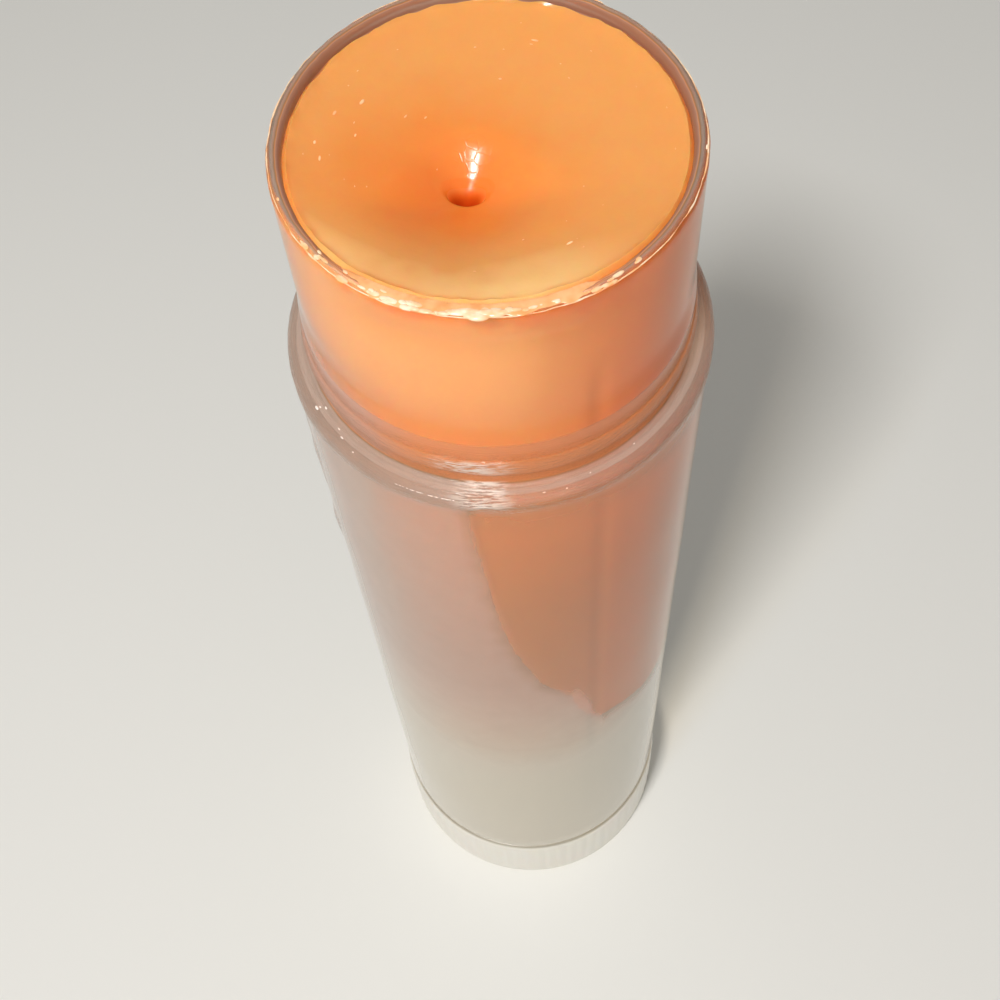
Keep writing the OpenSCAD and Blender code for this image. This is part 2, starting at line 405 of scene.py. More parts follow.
def geometry_tree(
    name: str, inputs: dict[str, str]
) -> tuple[NodeTree, Node, Node]:
    """Makes an empty Geometry Nodes tree.

    Args:
        name: the tree's name
        inputs: the socket type of each input by its name, after the geometry

    Returns:
        The tree, its input node and its output node.
    """
    tree = bpy.data.node_groups.new(name, "GeometryNodeTree")
    tree.interface.new_socket("Geometry", in_out="INPUT", socket_type="NodeSocketGeometry")
    for label, kind in inputs.items():
        tree.interface.new_socket(label, in_out="INPUT", socket_type=kind)
    tree.interface.new_socket("Geometry", in_out="OUTPUT", socket_type="NodeSocketGeometry")
    return tree, add_node(tree, "NodeGroupInput"), add_node(tree, "NodeGroupOutput")


def apply_tree(piece: Object, tree: NodeTree, values: dict[str, Any]) -> None:
    """Runs a Geometry Nodes tree on a piece and keeps the result as its plain mesh.

    Args:
        piece: the object, whose mesh is the tree's geometry
        tree: the tree
        values: the inputs' values by name
    """
    modifier = piece.modifiers.new(tree.name, "NODES")
    modifier.node_group = tree
    for item in tree.interface.items_tree:
        if item.item_type == "SOCKET" and item.in_out == "INPUT" and item.name in values:
            modifier[item.identifier] = values[item.name]
    evaluated = piece.evaluated_get(bpy.context.evaluated_depsgraph_get())
    made = bpy.data.meshes.new_from_object(evaluated)
    piece.modifiers.remove(modifier)
    old, piece.data = piece.data, made
    made.name = piece.name
    bpy.data.meshes.remove(old)
    shade(made)


@dataclass(frozen=True)
class Ridges:
    """Ridges on a turned surface: straight ones round it, or one that climbs it as a thread.

    A ridge's middle lies straight along X at the height start, and climbs clockwise, as a left-handed thread
    does. Lengths are in millimetres. Crest and flank are shares of the distance from one ridge to the next.
    """

    around: float
    lead: float
    start: float
    rise: float
    crest: float
    flank: float
    inner: float
    outer: float
    low: float
    high: float
    fade: float

    @staticmethod
    def tree() -> NodeTree:
        """Builds the tree that raises the ridges, or returns the one built before."""
        name = "Ridges"
        if name in bpy.data.node_groups:
            return bpy.data.node_groups[name]
        number = "NodeSocketFloat"
        labels = ["Around", "Per Metre", "Shift", "Rise", "Crest Half", "Foot Half"]
        labels += ["Inner Radius", "Outer Radius", "Low", "High", "Fade"]
        tree, given, out = geometry_tree(
            name, {**{label: number for label in labels}, "Material": "NodeSocketMaterial"}
        )
        g = given.outputs
        place = add_node(tree, "GeometryNodeInputPosition")
        flat = add_node(tree, "ShaderNodeVectorMath", {"operation": "MULTIPLY", 1: (1, 1, 0)}, {0: place})
        radius = add_node(tree, "ShaderNodeVectorMath", {"operation": "LENGTH"}, {0: flat})
        outward = add_node(tree, "ShaderNodeVectorMath", {"operation": "NORMALIZE"}, {0: flat})
        xyz = add_node(tree, "ShaderNodeSeparateXYZ", links={0: place})
        turn = add_node(
            tree, "ShaderNodeMath", {"operation": "ARCTAN2"}, {0: xyz.outputs["Y"], 1: xyz.outputs["X"]}
        )
        share = add_node(tree, "ShaderNodeMath", {"operation": "DIVIDE", 1: FULL_TURN}, {0: turn})
        round_it = add_node(
            tree, "ShaderNodeMath", {"operation": "MULTIPLY_ADD"}, {0: share, 1: g["Around"], 2: g["Shift"]}
        )
        climb = add_node(
            tree, "ShaderNodeMath", {"operation": "MULTIPLY_ADD"},
            {0: xyz.outputs["Z"], 1: g["Per Metre"], 2: round_it},
        )
        away = add_node(tree, "ShaderNodeMath", {"operation": "PINGPONG", 1: 0.5}, {0: climb})
        height = add_node(
            tree, "ShaderNodeMapRange", {"To Min": 1.0, "To Max": 0.0},
            {"Value": away, "From Min": g["Crest Half"], "From Max": g["Foot Half"]},
        )
        below = add_node(tree, "ShaderNodeMath", {"operation": "SUBTRACT"}, {0: g["Low"], 1: g["Fade"]})
        above = add_node(tree, "ShaderNodeMath", {"operation": "ADD"}, {0: g["High"], 1: g["Fade"]})
        rise_in = add_node(
            tree, "ShaderNodeMapRange",
            links={"Value": xyz.outputs["Z"], "From Min": below, "From Max": g["Low"]},
        )
        fall_out = add_node(
            tree, "ShaderNodeMapRange", {"To Min": 1.0, "To Max": 0.0},
            {"Value": xyz.outputs["Z"], "From Min": g["High"], "From Max": above},
        )
        past_inner = add_node(
            tree, "ShaderNodeMath", {"operation": "GREATER_THAN"},
            {0: radius.outputs["Value"], 1: g["Inner Radius"]},
        )
        short_of_outer = add_node(
            tree, "ShaderNodeMath", {"operation": "LESS_THAN"},
            {0: radius.outputs["Value"], 1: g["Outer Radius"]},
        )
        size = g["Rise"]
        for factor in (height, rise_in, fall_out, past_inner, short_of_outer):
            size = add_node(tree, "ShaderNodeMath", {"operation": "MULTIPLY"}, {0: size, 1: factor})
        step = add_node(tree, "ShaderNodeVectorMath", {"operation": "SCALE"}, {0: outward, "Scale": size})
        moved = add_node(tree, "GeometryNodeSetPosition", links={"Geometry": g["Geometry"], "Offset": step})
        real = add_node(tree, "GeometryNodeRealizeInstances", links={"Geometry": moved})
        dressed = add_node(
            tree, "GeometryNodeSetMaterial", links={"Geometry": real, "Material": g["Material"]}
        )
        tree.links.new(dressed.outputs[0], out.inputs[0])
        return tree

    def raise_on(self, piece: Object, material: Material) -> None:
        """Raises the ridges on a piece.

        Args:
            piece: the turned piece
            material: the piece's finish
        """
        per_mm = 1 / self.lead if self.lead else 0.0
        apply_tree(piece, self.tree(), {
            "Around": float(self.around),
            "Per Metre": per_mm / MM,
            "Shift": -self.start * per_mm,
            "Rise": self.rise * MM,
            "Crest Half": self.crest / 2,
            "Foot Half": self.crest / 2 + self.flank,
            "Inner Radius": self.inner * MM,
            "Outer Radius": self.outer * MM,
            "Low": self.low * MM,
            "High": self.high * MM,
            "Fade": self.fade * MM,
            "Material": material,
        })


class Warmth(Enum):
    """Places on the milk's colour ramp, by what stands behind the plastic or lies on it."""

    BARE = 0.0
    FILL_NEAR = 0.4
    FILL_BEHIND = 0.5
    WETTED = 0.68
    COLLAR = 0.76
    COLLAR_LEFT = 0.8
    RIM = 0.86
    FILMED = 1.0


@dataclass(frozen=True)
class NaturalPolypropylene:
    """Natural polypropylene, injection moulded thin.

    It is milky where it is thick and nearly clear where it is thin or wetted, with a satin gloss and faint
    flow marks. Four marks on the mesh say where: haze how milky the plastic is, warmth the milk's colour,
    crinkle how deep the fine folds of the skin are, and the fourth where white streaks are painted over the
    folds as a highlight on the collar and the ledge.
    """

    milk: tuple[tuple[Warmth, str], ...] = (
        (Warmth.BARE, "#dad2c1"), (Warmth.FILL_NEAR, "#cfbbac"), (Warmth.FILL_BEHIND, "#c7b1a2"),
        (Warmth.WETTED, "#a08461"), (Warmth.COLLAR, "#dd9761"), (Warmth.COLLAR_LEFT, "#cda38c"),
        (Warmth.RIM, "#a8765e"), (Warmth.FILMED, "#f2b47c"),
    )
    glow: float = 0.3
    clear: str = "#fbf6ef"
    gloss_roughness: float = 0.1
    through_roughness: float = 0.05
    index: float = 1.49
    edge_haze: float = 3.0
    edge_blend: float = 0.35
    edge_power: float = 2.0
    most_haze: float = 0.97
    mottle: float = 0.05
    mottle_noise: Span = (0.3, 0.7)
    flow_mark: float = 1.6
    flow_depth: float = 0.001
    streak_run: float = 1.0
    streak_width: float = 0.075
    streak_depth: float = 0.2
    # Painted highlight: the white streaks on the collar and the ledge
    glint_colour: str = "#fff3e6"
    glint_roughness: float = 0.3
    glint_noise: Span = (0.4, 0.58)
    shadow_tint: str = "#f7f2e9"

    def material(self) -> Material:
        """Builds the material."""
        material, tree, out = new_material("Natural_polypropylene_moulded")
        place = add_node(tree, "ShaderNodeTexCoord").outputs["Object"]
        flow = add_node(
            tree, "ShaderNodeTexNoise",
            {"Scale": 1 / (self.flow_mark * MM), "Detail": 3.0, "Roughness": 0.55}, {"Vector": place},
        )
        streak = self.streaks(tree, place)
        bump = self.relief(tree, flow, streak)
        through = add_node(
            tree, "ShaderNodeBsdfGlass",
            {"Color": linear(self.clear), "Roughness": self.through_roughness, "IOR": self.index},
            {"Normal": bump},
        )
        milky = self.milkiness(tree, flow, bump)
        skin = self.skin(tree, bump)
        coated = add_node(tree, "ShaderNodeMixShader", links={0: milky, 1: through, 2: skin})
        # Painted highlight: white streaks over the plastic, where the mesh marks them
        worn = self.paint_glints(tree, coated, streak, bump)
        ray = add_node(tree, "ShaderNodeLightPath")
        lit = add_node(tree, "ShaderNodeBsdfTransparent", {"Color": linear(self.shadow_tint)})
        shown = add_node(
            tree, "ShaderNodeMixShader", links={0: ray.outputs["Is Shadow Ray"], 1: worn, 2: lit}
        )
        tree.links.new(shown.outputs[0], out.inputs["Surface"])
        return material

    def streaks(self, tree: NodeTree, place: NodeSocket) -> Node:
        """Adds a noise drawn out round the stick, with fine streaks up its walls and across its ledges.

        Args:
            tree: the material's tree
            place: the place on the object

        Returns:
            The noise.
        """
        flat = add_node(tree, "ShaderNodeVectorMath", {"operation": "MULTIPLY", 1: (1, 1, 0)}, {0: place})
        outward = add_node(tree, "ShaderNodeVectorMath", {"operation": "NORMALIZE"}, {0: flat})
        radius = add_node(tree, "ShaderNodeVectorMath", {"operation": "LENGTH"}, {0: flat})
        xyz = add_node(tree, "ShaderNodeSeparateXYZ", links={0: place})
        along = add_node(
            tree, "ShaderNodeMath", {"operation": "SUBTRACT"},
            {0: xyz.outputs["Z"], 1: radius.outputs["Value"]},
        )
        lift = add_node(tree, "ShaderNodeCombineXYZ", links={2: along})
        drawn_out = add_node(
            tree, "ShaderNodeVectorMath", {"operation": "MULTIPLY_ADD", 1: (self.streak_run * MM,) * 3},
            {0: outward, 2: lift},
        )
        return add_node(
            tree, "ShaderNodeTexNoise",
            {"Scale": 1 / (self.streak_width * MM), "Detail": 3.0, "Roughness": 0.6}, {"Vector": drawn_out},
        )

    def relief(self, tree: NodeTree, flow: Node, streak: Node) -> Node:
        """Adds the bump of the flow marks and, where the mesh is marked, of the crinkled skin.

        Args:
            tree: the material's tree
            flow: the noise of the flow marks
            streak: the noise of the streaks

        Returns:
            The bump.
        """
        flow_bump = add_node(
            tree, "ShaderNodeBump", {"Strength": 1.0, "Distance": self.flow_depth * MM}, {"Height": flow}
        )
        crinkle = add_node(tree, "ShaderNodeAttribute", {"attribute_name": "crinkle"})
        folds = add_node(
            tree, "ShaderNodeMath", {"operation": "MULTIPLY"}, {0: streak, 1: crinkle.outputs["Fac"]}
        )
        return add_node(
            tree, "ShaderNodeBump", {"Strength": 1.0, "Distance": self.streak_depth * MM},
            {"Height": folds, "Normal": flow_bump},
        )

    def milkiness(self, tree: NodeTree, flow: Node, bump: Node) -> Node:
        """Adds the share of milk in what is seen, which grows where one looks along the wall.

        Args:
            tree: the material's tree
            flow: the noise of the flow marks
            bump: the bump

        Returns:
            The share.
        """
        haze = add_node(tree, "ShaderNodeAttribute", {"attribute_name": "haze"})
        facing = add_node(tree, "ShaderNodeLayerWeight", {"Blend": self.edge_blend}, {"Normal": bump})
        steep = add_node(
            tree, "ShaderNodeMath", {"operation": "POWER", 1: self.edge_power}, {0: facing.outputs["Facing"]}
        )
        edge = add_node(tree, "ShaderNodeMath", {"operation": "MULTIPLY", 1: self.edge_haze}, {0: steep})
        low, high = self.mottle_noise
        mottled = add_node(
            tree, "ShaderNodeMapRange",
            {"From Min": low, "From Max": high, "To Min": 1 - self.mottle, "To Max": 1 + self.mottle},
            {"Value": flow},
        )
        body = add_node(
            tree, "ShaderNodeMath", {"operation": "MULTIPLY"}, {0: haze.outputs["Fac"], 1: mottled}
        )
        edged = add_node(
            tree, "ShaderNodeMath", {"operation": "MULTIPLY_ADD"}, {0: edge, 1: haze.outputs["Fac"], 2: body}
        )
        return add_node(tree, "ShaderNodeClamp", {"Max": self.most_haze}, {"Value": edged})

    def skin(self, tree: NodeTree, bump: Node) -> Node:
        """Adds the milk, which glows a little from behind, with a gloss on its outer side.

        Args:
            tree: the material's tree
            bump: the bump

        Returns:
            The shader.
        """
        warmth = add_node(tree, "ShaderNodeAttribute", {"attribute_name": "warmth"})
        tint = add_ramp(tree, [(place.value, colour) for place, colour in self.milk], warmth.outputs["Fac"])
        lobes = {"Color": tint, "Normal": bump}
        front = add_node(tree, "ShaderNodeBsdfDiffuse", links=lobes)
        back = add_node(tree, "ShaderNodeBsdfTranslucent", links=lobes)
        milk = add_node(tree, "ShaderNodeMixShader", {0: self.glow}, {1: front, 2: back})
        gloss = add_node(
            tree, "ShaderNodeBsdfGlossy", {"Roughness": self.gloss_roughness, "Color": (1, 1, 1, 1)},
            {"Normal": bump},
        )
        fresnel = add_node(tree, "ShaderNodeFresnel", {"IOR": self.index}, {"Normal": bump})
        side = add_node(tree, "ShaderNodeNewGeometry")
        outer = add_node(
            tree, "ShaderNodeMath", {"operation": "SUBTRACT", 0: 1.0}, {1: side.outputs["Backfacing"]}
        )
        shine = add_node(tree, "ShaderNodeMath", {"operation": "MULTIPLY"}, {0: fresnel, 1: outer})
        return add_node(tree, "ShaderNodeMixShader", links={0: shine, 1: milk, 2: gloss})

    def paint_glints(
        self, tree: NodeTree, under: Node, streak: Node, bump: Node
    ) -> Node:
        """Lays white streaks over the plastic, a painted highlight on the collar and the ledge.

        Args:
            tree: the material's tree
            under: the plastic's shader
            streak: the noise of the streaks
            bump: the bump

        Returns:
            The shader.
        """
        scuff = add_node(tree, "ShaderNodeAttribute", {"attribute_name": "scuff"})
        low, high = self.glint_noise
        glint_streaks = add_node(
            tree, "ShaderNodeMapRange",
            {"interpolation_type": "SMOOTHSTEP", "From Min": low, "From Max": high}, {"Value": streak},
        )
        share = add_node(
            tree, "ShaderNodeMath", {"operation": "MULTIPLY"}, {0: scuff.outputs["Fac"], 1: glint_streaks}
        )
        white = add_node(
            tree, "ShaderNodeBsdfPrincipled",
            {"Base Color": linear(self.glint_colour), "Roughness": self.glint_roughness, "IOR": self.index},
            {"Normal": bump},
        )
        return add_node(tree, "ShaderNodeMixShader", links={0: share, 1: under, 2: white})


@dataclass(frozen=True)
class MouldedPolypropylene:
    """Milky polypropylene, injection moulded thick.

    Light sinks in a little way, and the skin has a satin sheen. Where the mesh carries its seam mark, the
    colour is darkened as painted shade, in the seam under the barrel's foot.
    """

    name: str
    colour: str
    # Painted shade: the colour that the seam under the barrel is darkened towards
    seam_shade_colour: str = "#9c927f"
    roughness: float = 0.34
    roughness_spread: float = 0.06
    index: float = 1.49
    glow: float = 0.35
    glow_reach: tuple[float, float, float] = (1.0, 0.9, 0.75)
    depth: float = 1.1
    grain: float = 0.35
    grain_depth: float = 0.003
    cloud: float = 2.1
    cloud_tint: float = 0.06

    def material(self) -> Material:
        """Builds the material."""
        material, tree, out = new_material(self.name)
        place = add_node(tree, "ShaderNodeTexCoord").outputs["Object"]
        grain = add_node(
            tree, "ShaderNodeTexNoise", {"Scale": 1 / (self.grain * MM), "Detail": 2.0}, {"Vector": place}
        )
        cloud = add_node(
            tree, "ShaderNodeTexNoise", {"Scale": 1 / (self.cloud * MM), "Detail": 2.0}, {"Vector": place}
        )
        bump = add_node(tree, "ShaderNodeBump", {"Distance": self.grain_depth * MM}, {"Height": grain})
        low, high = self.roughness - self.roughness_spread, self.roughness + self.roughness_spread
        rough = add_node(tree, "ShaderNodeMapRange", {"To Min": low, "To Max": high}, {"Value": cloud})
        tone = add_node(
            tree, "ShaderNodeMix",
            {"data_type": "RGBA", "blend_type": "MULTIPLY", 0: self.cloud_tint, 6: linear(self.colour)},
            {7: cloud.outputs["Color"]},
        )
        # Painted shade in the seam under the barrel, where the mesh marks it
        dust = add_node(tree, "ShaderNodeAttribute", {"attribute_name": "dust"})
        seam_shaded = add_node(
            tree, "ShaderNodeMix", {"data_type": "RGBA", 7: linear(self.seam_shade_colour)},
            {0: dust.outputs["Fac"], 6: tone.outputs[2]},
        )
        skin = add_node(
            tree, "ShaderNodeBsdfPrincipled",
            {"Subsurface Weight": self.glow, "Subsurface Radius": self.glow_reach,
             "Subsurface Scale": self.depth * MM, "IOR": self.index},
            {"Base Color": seam_shaded.outputs[2], "Roughness": rough, "Normal": bump},
        )
        tree.links.new(skin.outputs[0], out.inputs["Surface"])
        return material


@dataclass(frozen=True)
class BalmWax:
    """Balm of waxes and oils, poured hot: light glows in it.

    The skin has a soft sheen and a low, uneven bloom. The mesh's mark tone says how pale each place is, from
    the bottom of the pit to the band along the front edge, and its mark crazed where the skin has shrunk into
    fine folds. The tone is partly the wax's own colour and partly painted light and shade: painted shade
    round and down into the pit, painted light in the pale band along the front. In the pit, as painted shade,
    the skin grows dull, glows less and loses its sheen as its tone falls.
    """

    # From the bottom of the pit, darkened as painted shade, to the palest band, which is painted light
    tones: tuple[tuple[float, str], ...] = (
        (0.0, "#b4360a"), (0.16, "#da5c18"), (0.34, "#f08030"), (0.56, "#ea8f42"), (0.8, "#eaa056"),
        (1.0, "#ffca84"),
    )
    smoothest: float = 0.14
    roughness_spread: float = 0.14
    index: float = 1.44
    depth: float = 0.6
    glow_reach: tuple[float, float, float] = (1.0, 0.42, 0.18)
    bloom: float = 0.9
    bloom_tint: float = 0.09
    grain: float = 0.16
    grain_depth: float = 0.003
    craze: float = 0.36
    craze_edge: float = 0.07
    craze_depth: float = 0.004
    # Painted shade in the pit: as the tone falls the skin grows dull, glows less and loses its sheen
    mouth_tone: float = 0.34
    wall_tone: float = 0.2
    floor_tone: float = 0.1
    pit_roughness: float = 0.5
    floor_glow: float = 0.1
    glow: float = 0.7
    sheen: float = 0.5

    def material(self) -> Material:
        """Builds the material."""
        material, tree, out = new_material("Balm_wax_poured")
        place = add_node(tree, "ShaderNodeTexCoord").outputs["Object"]
        tone = add_node(tree, "ShaderNodeAttribute", {"attribute_name": "tone"}).outputs["Fac"]
        bloom = add_node(
            tree, "ShaderNodeTexNoise", {"Scale": 1 / (self.bloom * MM), "Detail": 4.0, "Roughness": 0.6},
            {"Vector": place},
        )
        clouded = add_node(
            tree, "ShaderNodeMix", {"data_type": "RGBA", "blend_type": "SOFT_LIGHT", 0: self.bloom_tint},
            {6: add_ramp(tree, self.tones, tone), 7: bloom.outputs["Color"]},
        )
        # Painted shade in the pit: rougher, with less glow and less sheen as the tone falls
        dull = add_node(
            tree, "ShaderNodeMapRange",
            {"From Min": self.mouth_tone, "From Max": self.wall_tone, "To Max": self.pit_roughness},
            {"Value": tone},
        )
        sheen = add_node(
            tree, "ShaderNodeMath",
            {"operation": "MULTIPLY_ADD", 1: self.roughness_spread, 2: self.smoothest}, {0: bloom},
        )
        rough = add_node(tree, "ShaderNodeMath", {"operation": "ADD"}, {0: sheen, 1: dull})
        glow = add_node(
            tree, "ShaderNodeMapRange",
            {"From Max": self.mouth_tone, "To Min": self.floor_glow, "To Max": self.glow}, {"Value": tone},
        )
        gleam = add_node(
            tree, "ShaderNodeMapRange",
            {"From Min": self.floor_tone, "From Max": self.mouth_tone, "To Max": self.sheen}, {"Value": tone},
        )
        skin = add_node(
            tree, "ShaderNodeBsdfPrincipled",
            {"Subsurface Radius": self.glow_reach, "Subsurface Scale": self.depth * MM, "IOR": self.index},
            {"Base Color": clouded.outputs[2], "Roughness": rough, "Normal": self.relief(tree, place),
             "Subsurface Weight": glow, "Specular IOR Level": gleam},
        )
        tree.links.new(skin.outputs[0], out.inputs["Surface"])
        return material

    def relief(self, tree: NodeTree, place: NodeSocket) -> Node:
        """Adds the bump of the wax's grain and, where the mesh is marked, of the fine folds.

        Args:
            tree: the material's tree
            place: the place on the object

        Returns:
            The bump.
        """
        grain = add_node(
            tree, "ShaderNodeTexNoise", {"Scale": 1 / (self.grain * MM), "Detail": 3.0}, {"Vector": place}
        )
        grained = add_node(tree, "ShaderNodeBump", {"Distance": self.grain_depth * MM}, {"Height": grain})
        crazed = add_node(tree, "ShaderNodeAttribute", {"attribute_name": "crazed"})
        folds = add_node(
            tree, "ShaderNodeTexVoronoi", {"feature": "DISTANCE_TO_EDGE", "Scale": 1 / (self.craze * MM)},
            {"Vector": place},
        )
        shallow = add_node(
            tree, "ShaderNodeMapRange", {"interpolation_type": "SMOOTHSTEP", "From Max": self.craze_edge},
            {"Value": folds.outputs["Distance"]},
        )
        return add_node(
            tree, "ShaderNodeBump", {"Distance": self.craze_depth * MM},
            {"Strength": crazed.outputs["Fac"], "Height": shallow, "Normal": grained},
        )


@dataclass(frozen=True)
class Patchy:
    """The finish of a small soft-edged solid: two tones in patches, a low gleam, and a pale shadow."""

    name: str
    pale: str
    cream: str
    roughness: float
    index: float = 1.46
    patch: float = 0.5
    patch_noise: Span = (0.35, 0.65)

    def material(self) -> Material:
        """Builds the material."""
        material, tree, out = new_material(self.name)
        place = add_node(tree, "ShaderNodeTexCoord").outputs["Object"]
        patch = add_node(
            tree, "ShaderNodeTexNoise", {"Scale": 1 / (self.patch * MM), "Detail": 2.0}, {"Vector": place}
        )
        low, high = self.patch_noise
        spread = add_node(tree, "ShaderNodeMapRange", {"From Min": low, "From Max": high}, {"Value": patch})
        tone = add_node(
            tree, "ShaderNodeMix", {"data_type": "RGBA", 6: linear(self.pale), 7: linear(self.cream)},
            {0: spread},
        )
        skin = add_node(
            tree, "ShaderNodeBsdfPrincipled", {"Roughness": self.roughness, "IOR": self.index},
            {"Base Color": tone.outputs[2]},
        )
        ray = add_node(tree, "ShaderNodeLightPath")
        lit = add_node(tree, "ShaderNodeBsdfTransparent", {"Color": linear(self.pale)})
        shown = add_node(
            tree, "ShaderNodeMixShader", links={0: ray.outputs["Is Shadow Ray"], 1: skin, 2: lit}
        )
        tree.links.new(shown.outputs[0], out.inputs["Surface"])
        return material


@dataclass(frozen=True)
class DriedWaxAndGlint(Patchy):
    """Balm dried pale in lumps: creamy, with a wet gleam.

    On the thin line along the rim's outer edge the same pale colour is a painted highlight.
    """

    name: str = "Balm_wax_dried"
    pale: str = "#ffe6c4"
    cream: str = "#fcb97c"
    roughness: float = 0.16


@dataclass(frozen=True)
class WipedWax(Patchy):
    """Balm wiped over the rim in a thin film: nearly the fill's own orange, with a soft gleam."""

    name: str = "Balm_wax_film"
    pale: str = "#f9bd84"
    cream: str = "#f0a465"
    roughness: float = 0.24


@dataclass(frozen=True)
class CrumbledWax(Patchy):
    """Crumbs of balm: a little paler and duller than the skin that they lie on."""

    name: str = "Balm_wax_crumbs"
    pale: str = "#ffd2a0"
    cream: str = "#f7b27a"
    roughness: float = 0.4


@dataclass(frozen=True)
class GlintSpecks(Patchy):
    """Pale specks on the ledge and along its crest: a painted highlight where glints fall."""

    name: str = "Polypropylene_chips"
    pale: str = "#fffaf4"
    cream: str = "#f6e6da"
    roughness: float = 0.3


@dataclass(frozen=True)
class Haze:
    """How milky the barrel looks from place to place, as shares of milk over clear plastic."""

    foot: float = 0.7
    body_low: float = 0.66
    body: float = 0.36
    lip: float = 0.45
    ledge: float = 0.78
    fillet: float = 0.6
    collar: float = 0.5
    bead: float = 0.4
    step: float = 0.08
    neck: float = 0.05
    rim: float = 0.8
    bore: float = 0.68
    bore_low: float = 0.93


@dataclass
class Barrel:
    """The barrel: a thin neck on a collar with a cap bead, a shoulder with a proud lip, and a thick body.

    Lengths are in millimetres and directions in degrees. Foot, rim and lip come from the frame. Spans are
    heights where their names end in z, heights over the shoulder or rim where they end in shoulder or rim,
    and angles from a direction where they end in reach. The rim's outer edge, rim_line, is known once the
    barrel is built.
    """

    finish: NaturalPolypropylene
    foot: float
    rim: float
    lip_r: float
    bore_r: float = 6.5
    neck_wall: float = 0.52
    body_wall: float = 1.4
    neck_h: float = 9.6
    lip_h: float = 0.9
    lip_round: float = 0.36
    lip_flat: float = 0.05
    collar_out: float = 0.13
    collar_h: float = 3.15
    bead_out: float = 0.14
    bead_z: float = 1.05
    bead_h: float = 0.95
    bead_steps: int = 16
    step_h: float = 1.5
    step_steps: int = 8
    fillet: float = 0.22
    fillet_run: float = 0.08
    foot_round: float = 0.2
    groove_z: float = 7.5
    groove_out: float = 0.3
    groove_flat: float = 0.46
    rib_count: int = 4
    rib_turn: float = -63.0
    rib_w: float = 0.6
    rib_flat: float = 0.02
    rib_flank: float = 0.2
    rib_in: float = 0.26
    rib_low: float = 8.7
    rib_foot: float = 0.04
    rib_high: float = 55.8
    rib_fade: float = 1.8
    columns: int = 288

    # How milky the plastic is
    haze: Haze = Haze()
    body_z: Span = (17.5, 24.0)
    body_fine: float = 3.2
    rim_fine: float = 0.7
    bore_z: Span = (29.5, 21.0)
    soak: float = 0.9
    soak_in: Span = (-0.05, 0.65)
    behind_in: Span = (-0.4, 0.9)
    clearing: float = 0.04
    # Painted shade: the right side below the shoulder is made less milky, so it reads darker
    right_shade_clearing: float = 0.12
    clearing_shoulder: Span = (-0.9, -3.2)
    right_turn: float = -20.0
    right_reach: Span = (60.0, 25.0)
    collar_left: float = 0.2
    left_turn: float = -168.0
    left_reach: Span = (58.0, 10.0)
    left_jag: float = 6.0
    collar_foot_shoulder: Span = (-0.01, 0.14)
    collar_fade_shoulder: Span = (5.5, 3.0)
    # Painted shade: the neck's right side is made less milky, so it reads darker
    painted_shade: float = 0.7
    dark_turn: float = -12.0
    dark_reach: Span = (75.0, 35.0)
    dark_shoulder: Span = (3.0, 4.0)

    # What colour its milk has
    fill_z: Span = (19.0, 34.0)
    fill_rim: Span = (0.0, -1.5)
    top_warmth: float = 0.045
    top_shoulder: Span = (-11.0, -1.0)
    wetted_shoulder: Span = (0.1, -0.35)
    collar_warm_shoulder: Span = (3.5, 3.1)
    ledge_cool: float = 0.12
    ledge_low_shoulder: Span = (-0.5, -0.12)
    ledge_high_shoulder: Span = (0.15, 0.02)

    # The film of dried balm over the rim's front
    film_turn: float = -95.0
    film_reach: Span = (48.0, 26.0)
    film_jag: float = 9.0
    film_rim: Span = (-2.6, -0.2)
    film_haze: float = 0.12
    film_rim_haze: float = 0.2
    crest_rim: Span = (-0.75, -0.45)
    crest_in: Span = (0.08, 0.1)
    bed: float = 0.07
    bed_reach: Span = (50.0, 30.0)

    # How uneven and worn the moulding is, and where white streaks are painted as a highlight
    skin_r: Span = (0.3, 0.5)
    waviness: float = 0.022
    rim_nick: float = 0.06
    rim_rough: float = 0.02
    rim_top_rim: Span = (-0.5, -0.1)
    seam_turn: float = -165.0
    seam_reach: Span = (2.6, 0.4)
    seam_flash: float = 0.09
    seam_lumps: Span = (0.25, 1.6)
    seam_low_z: Span = (30.0, 36.0)
    seam_high_z: Span = (49.3, 48.6)
    edge_wear: float = 0.012
    edge_low_shoulder: Span = (-0.9, -0.4)
    edge_high_shoulder: Span = (2.4, 1.6)
    crinkle: float = 0.26
    crinkle_spread: float = 0.14
    # Painted highlight: white streaks on the collar and the ledge, where the folds are also deeper
    scuff: float = 0.85
    glint_fold_depth: float = 0.5
    glint_jag: float = 2.5
    collar_glint_turn: float = -101.0
    collar_glint_reach: Span = (15.0, 1.0)
    collar_glint_z: float = 1.15
    collar_glint_up: Span = (0.4, 0.2)
    ledge_glint_turn: float = -98.0
    ledge_glint_reach: Span = (10.0, 1.0)
    ledge_glint_z: float = -0.1
    ledge_glint_up: Span = (0.3, 0.2)

    # The lower edge of the patch where the balm wets the bore, as directions and heights
    wet_turns: tuple[float, ...] = (-104.5, -103, -101.5, -98, -93, -86, -74, -67, -61.5, -57, -30, 0, 30, 50)
    wet_heights: tuple[float, ...] = (
        49.7, 47, 43.9, 38.8, 35.1, 31.9, 29.1, 25.7, 24.4, 24.8, 23.5, 25, 33, 49.7
    )
    wet_blur: float = 0.5
    wet_blur_right: float = 8.0
    wet_right: Span = (-54.0, -20.0)
    wet_samples: int = 7
    wet_jag: float = 0.16

    rim_line: Array = field(init=False, repr=False)

    @property
    def shoulder(self) -> float:
        """Height of the shoulder."""
        return self.rim - self.neck_h

    @property
    def neck_r(self) -> float:
        """Outer radius of the neck."""
        return self.bore_r + self.neck_wall

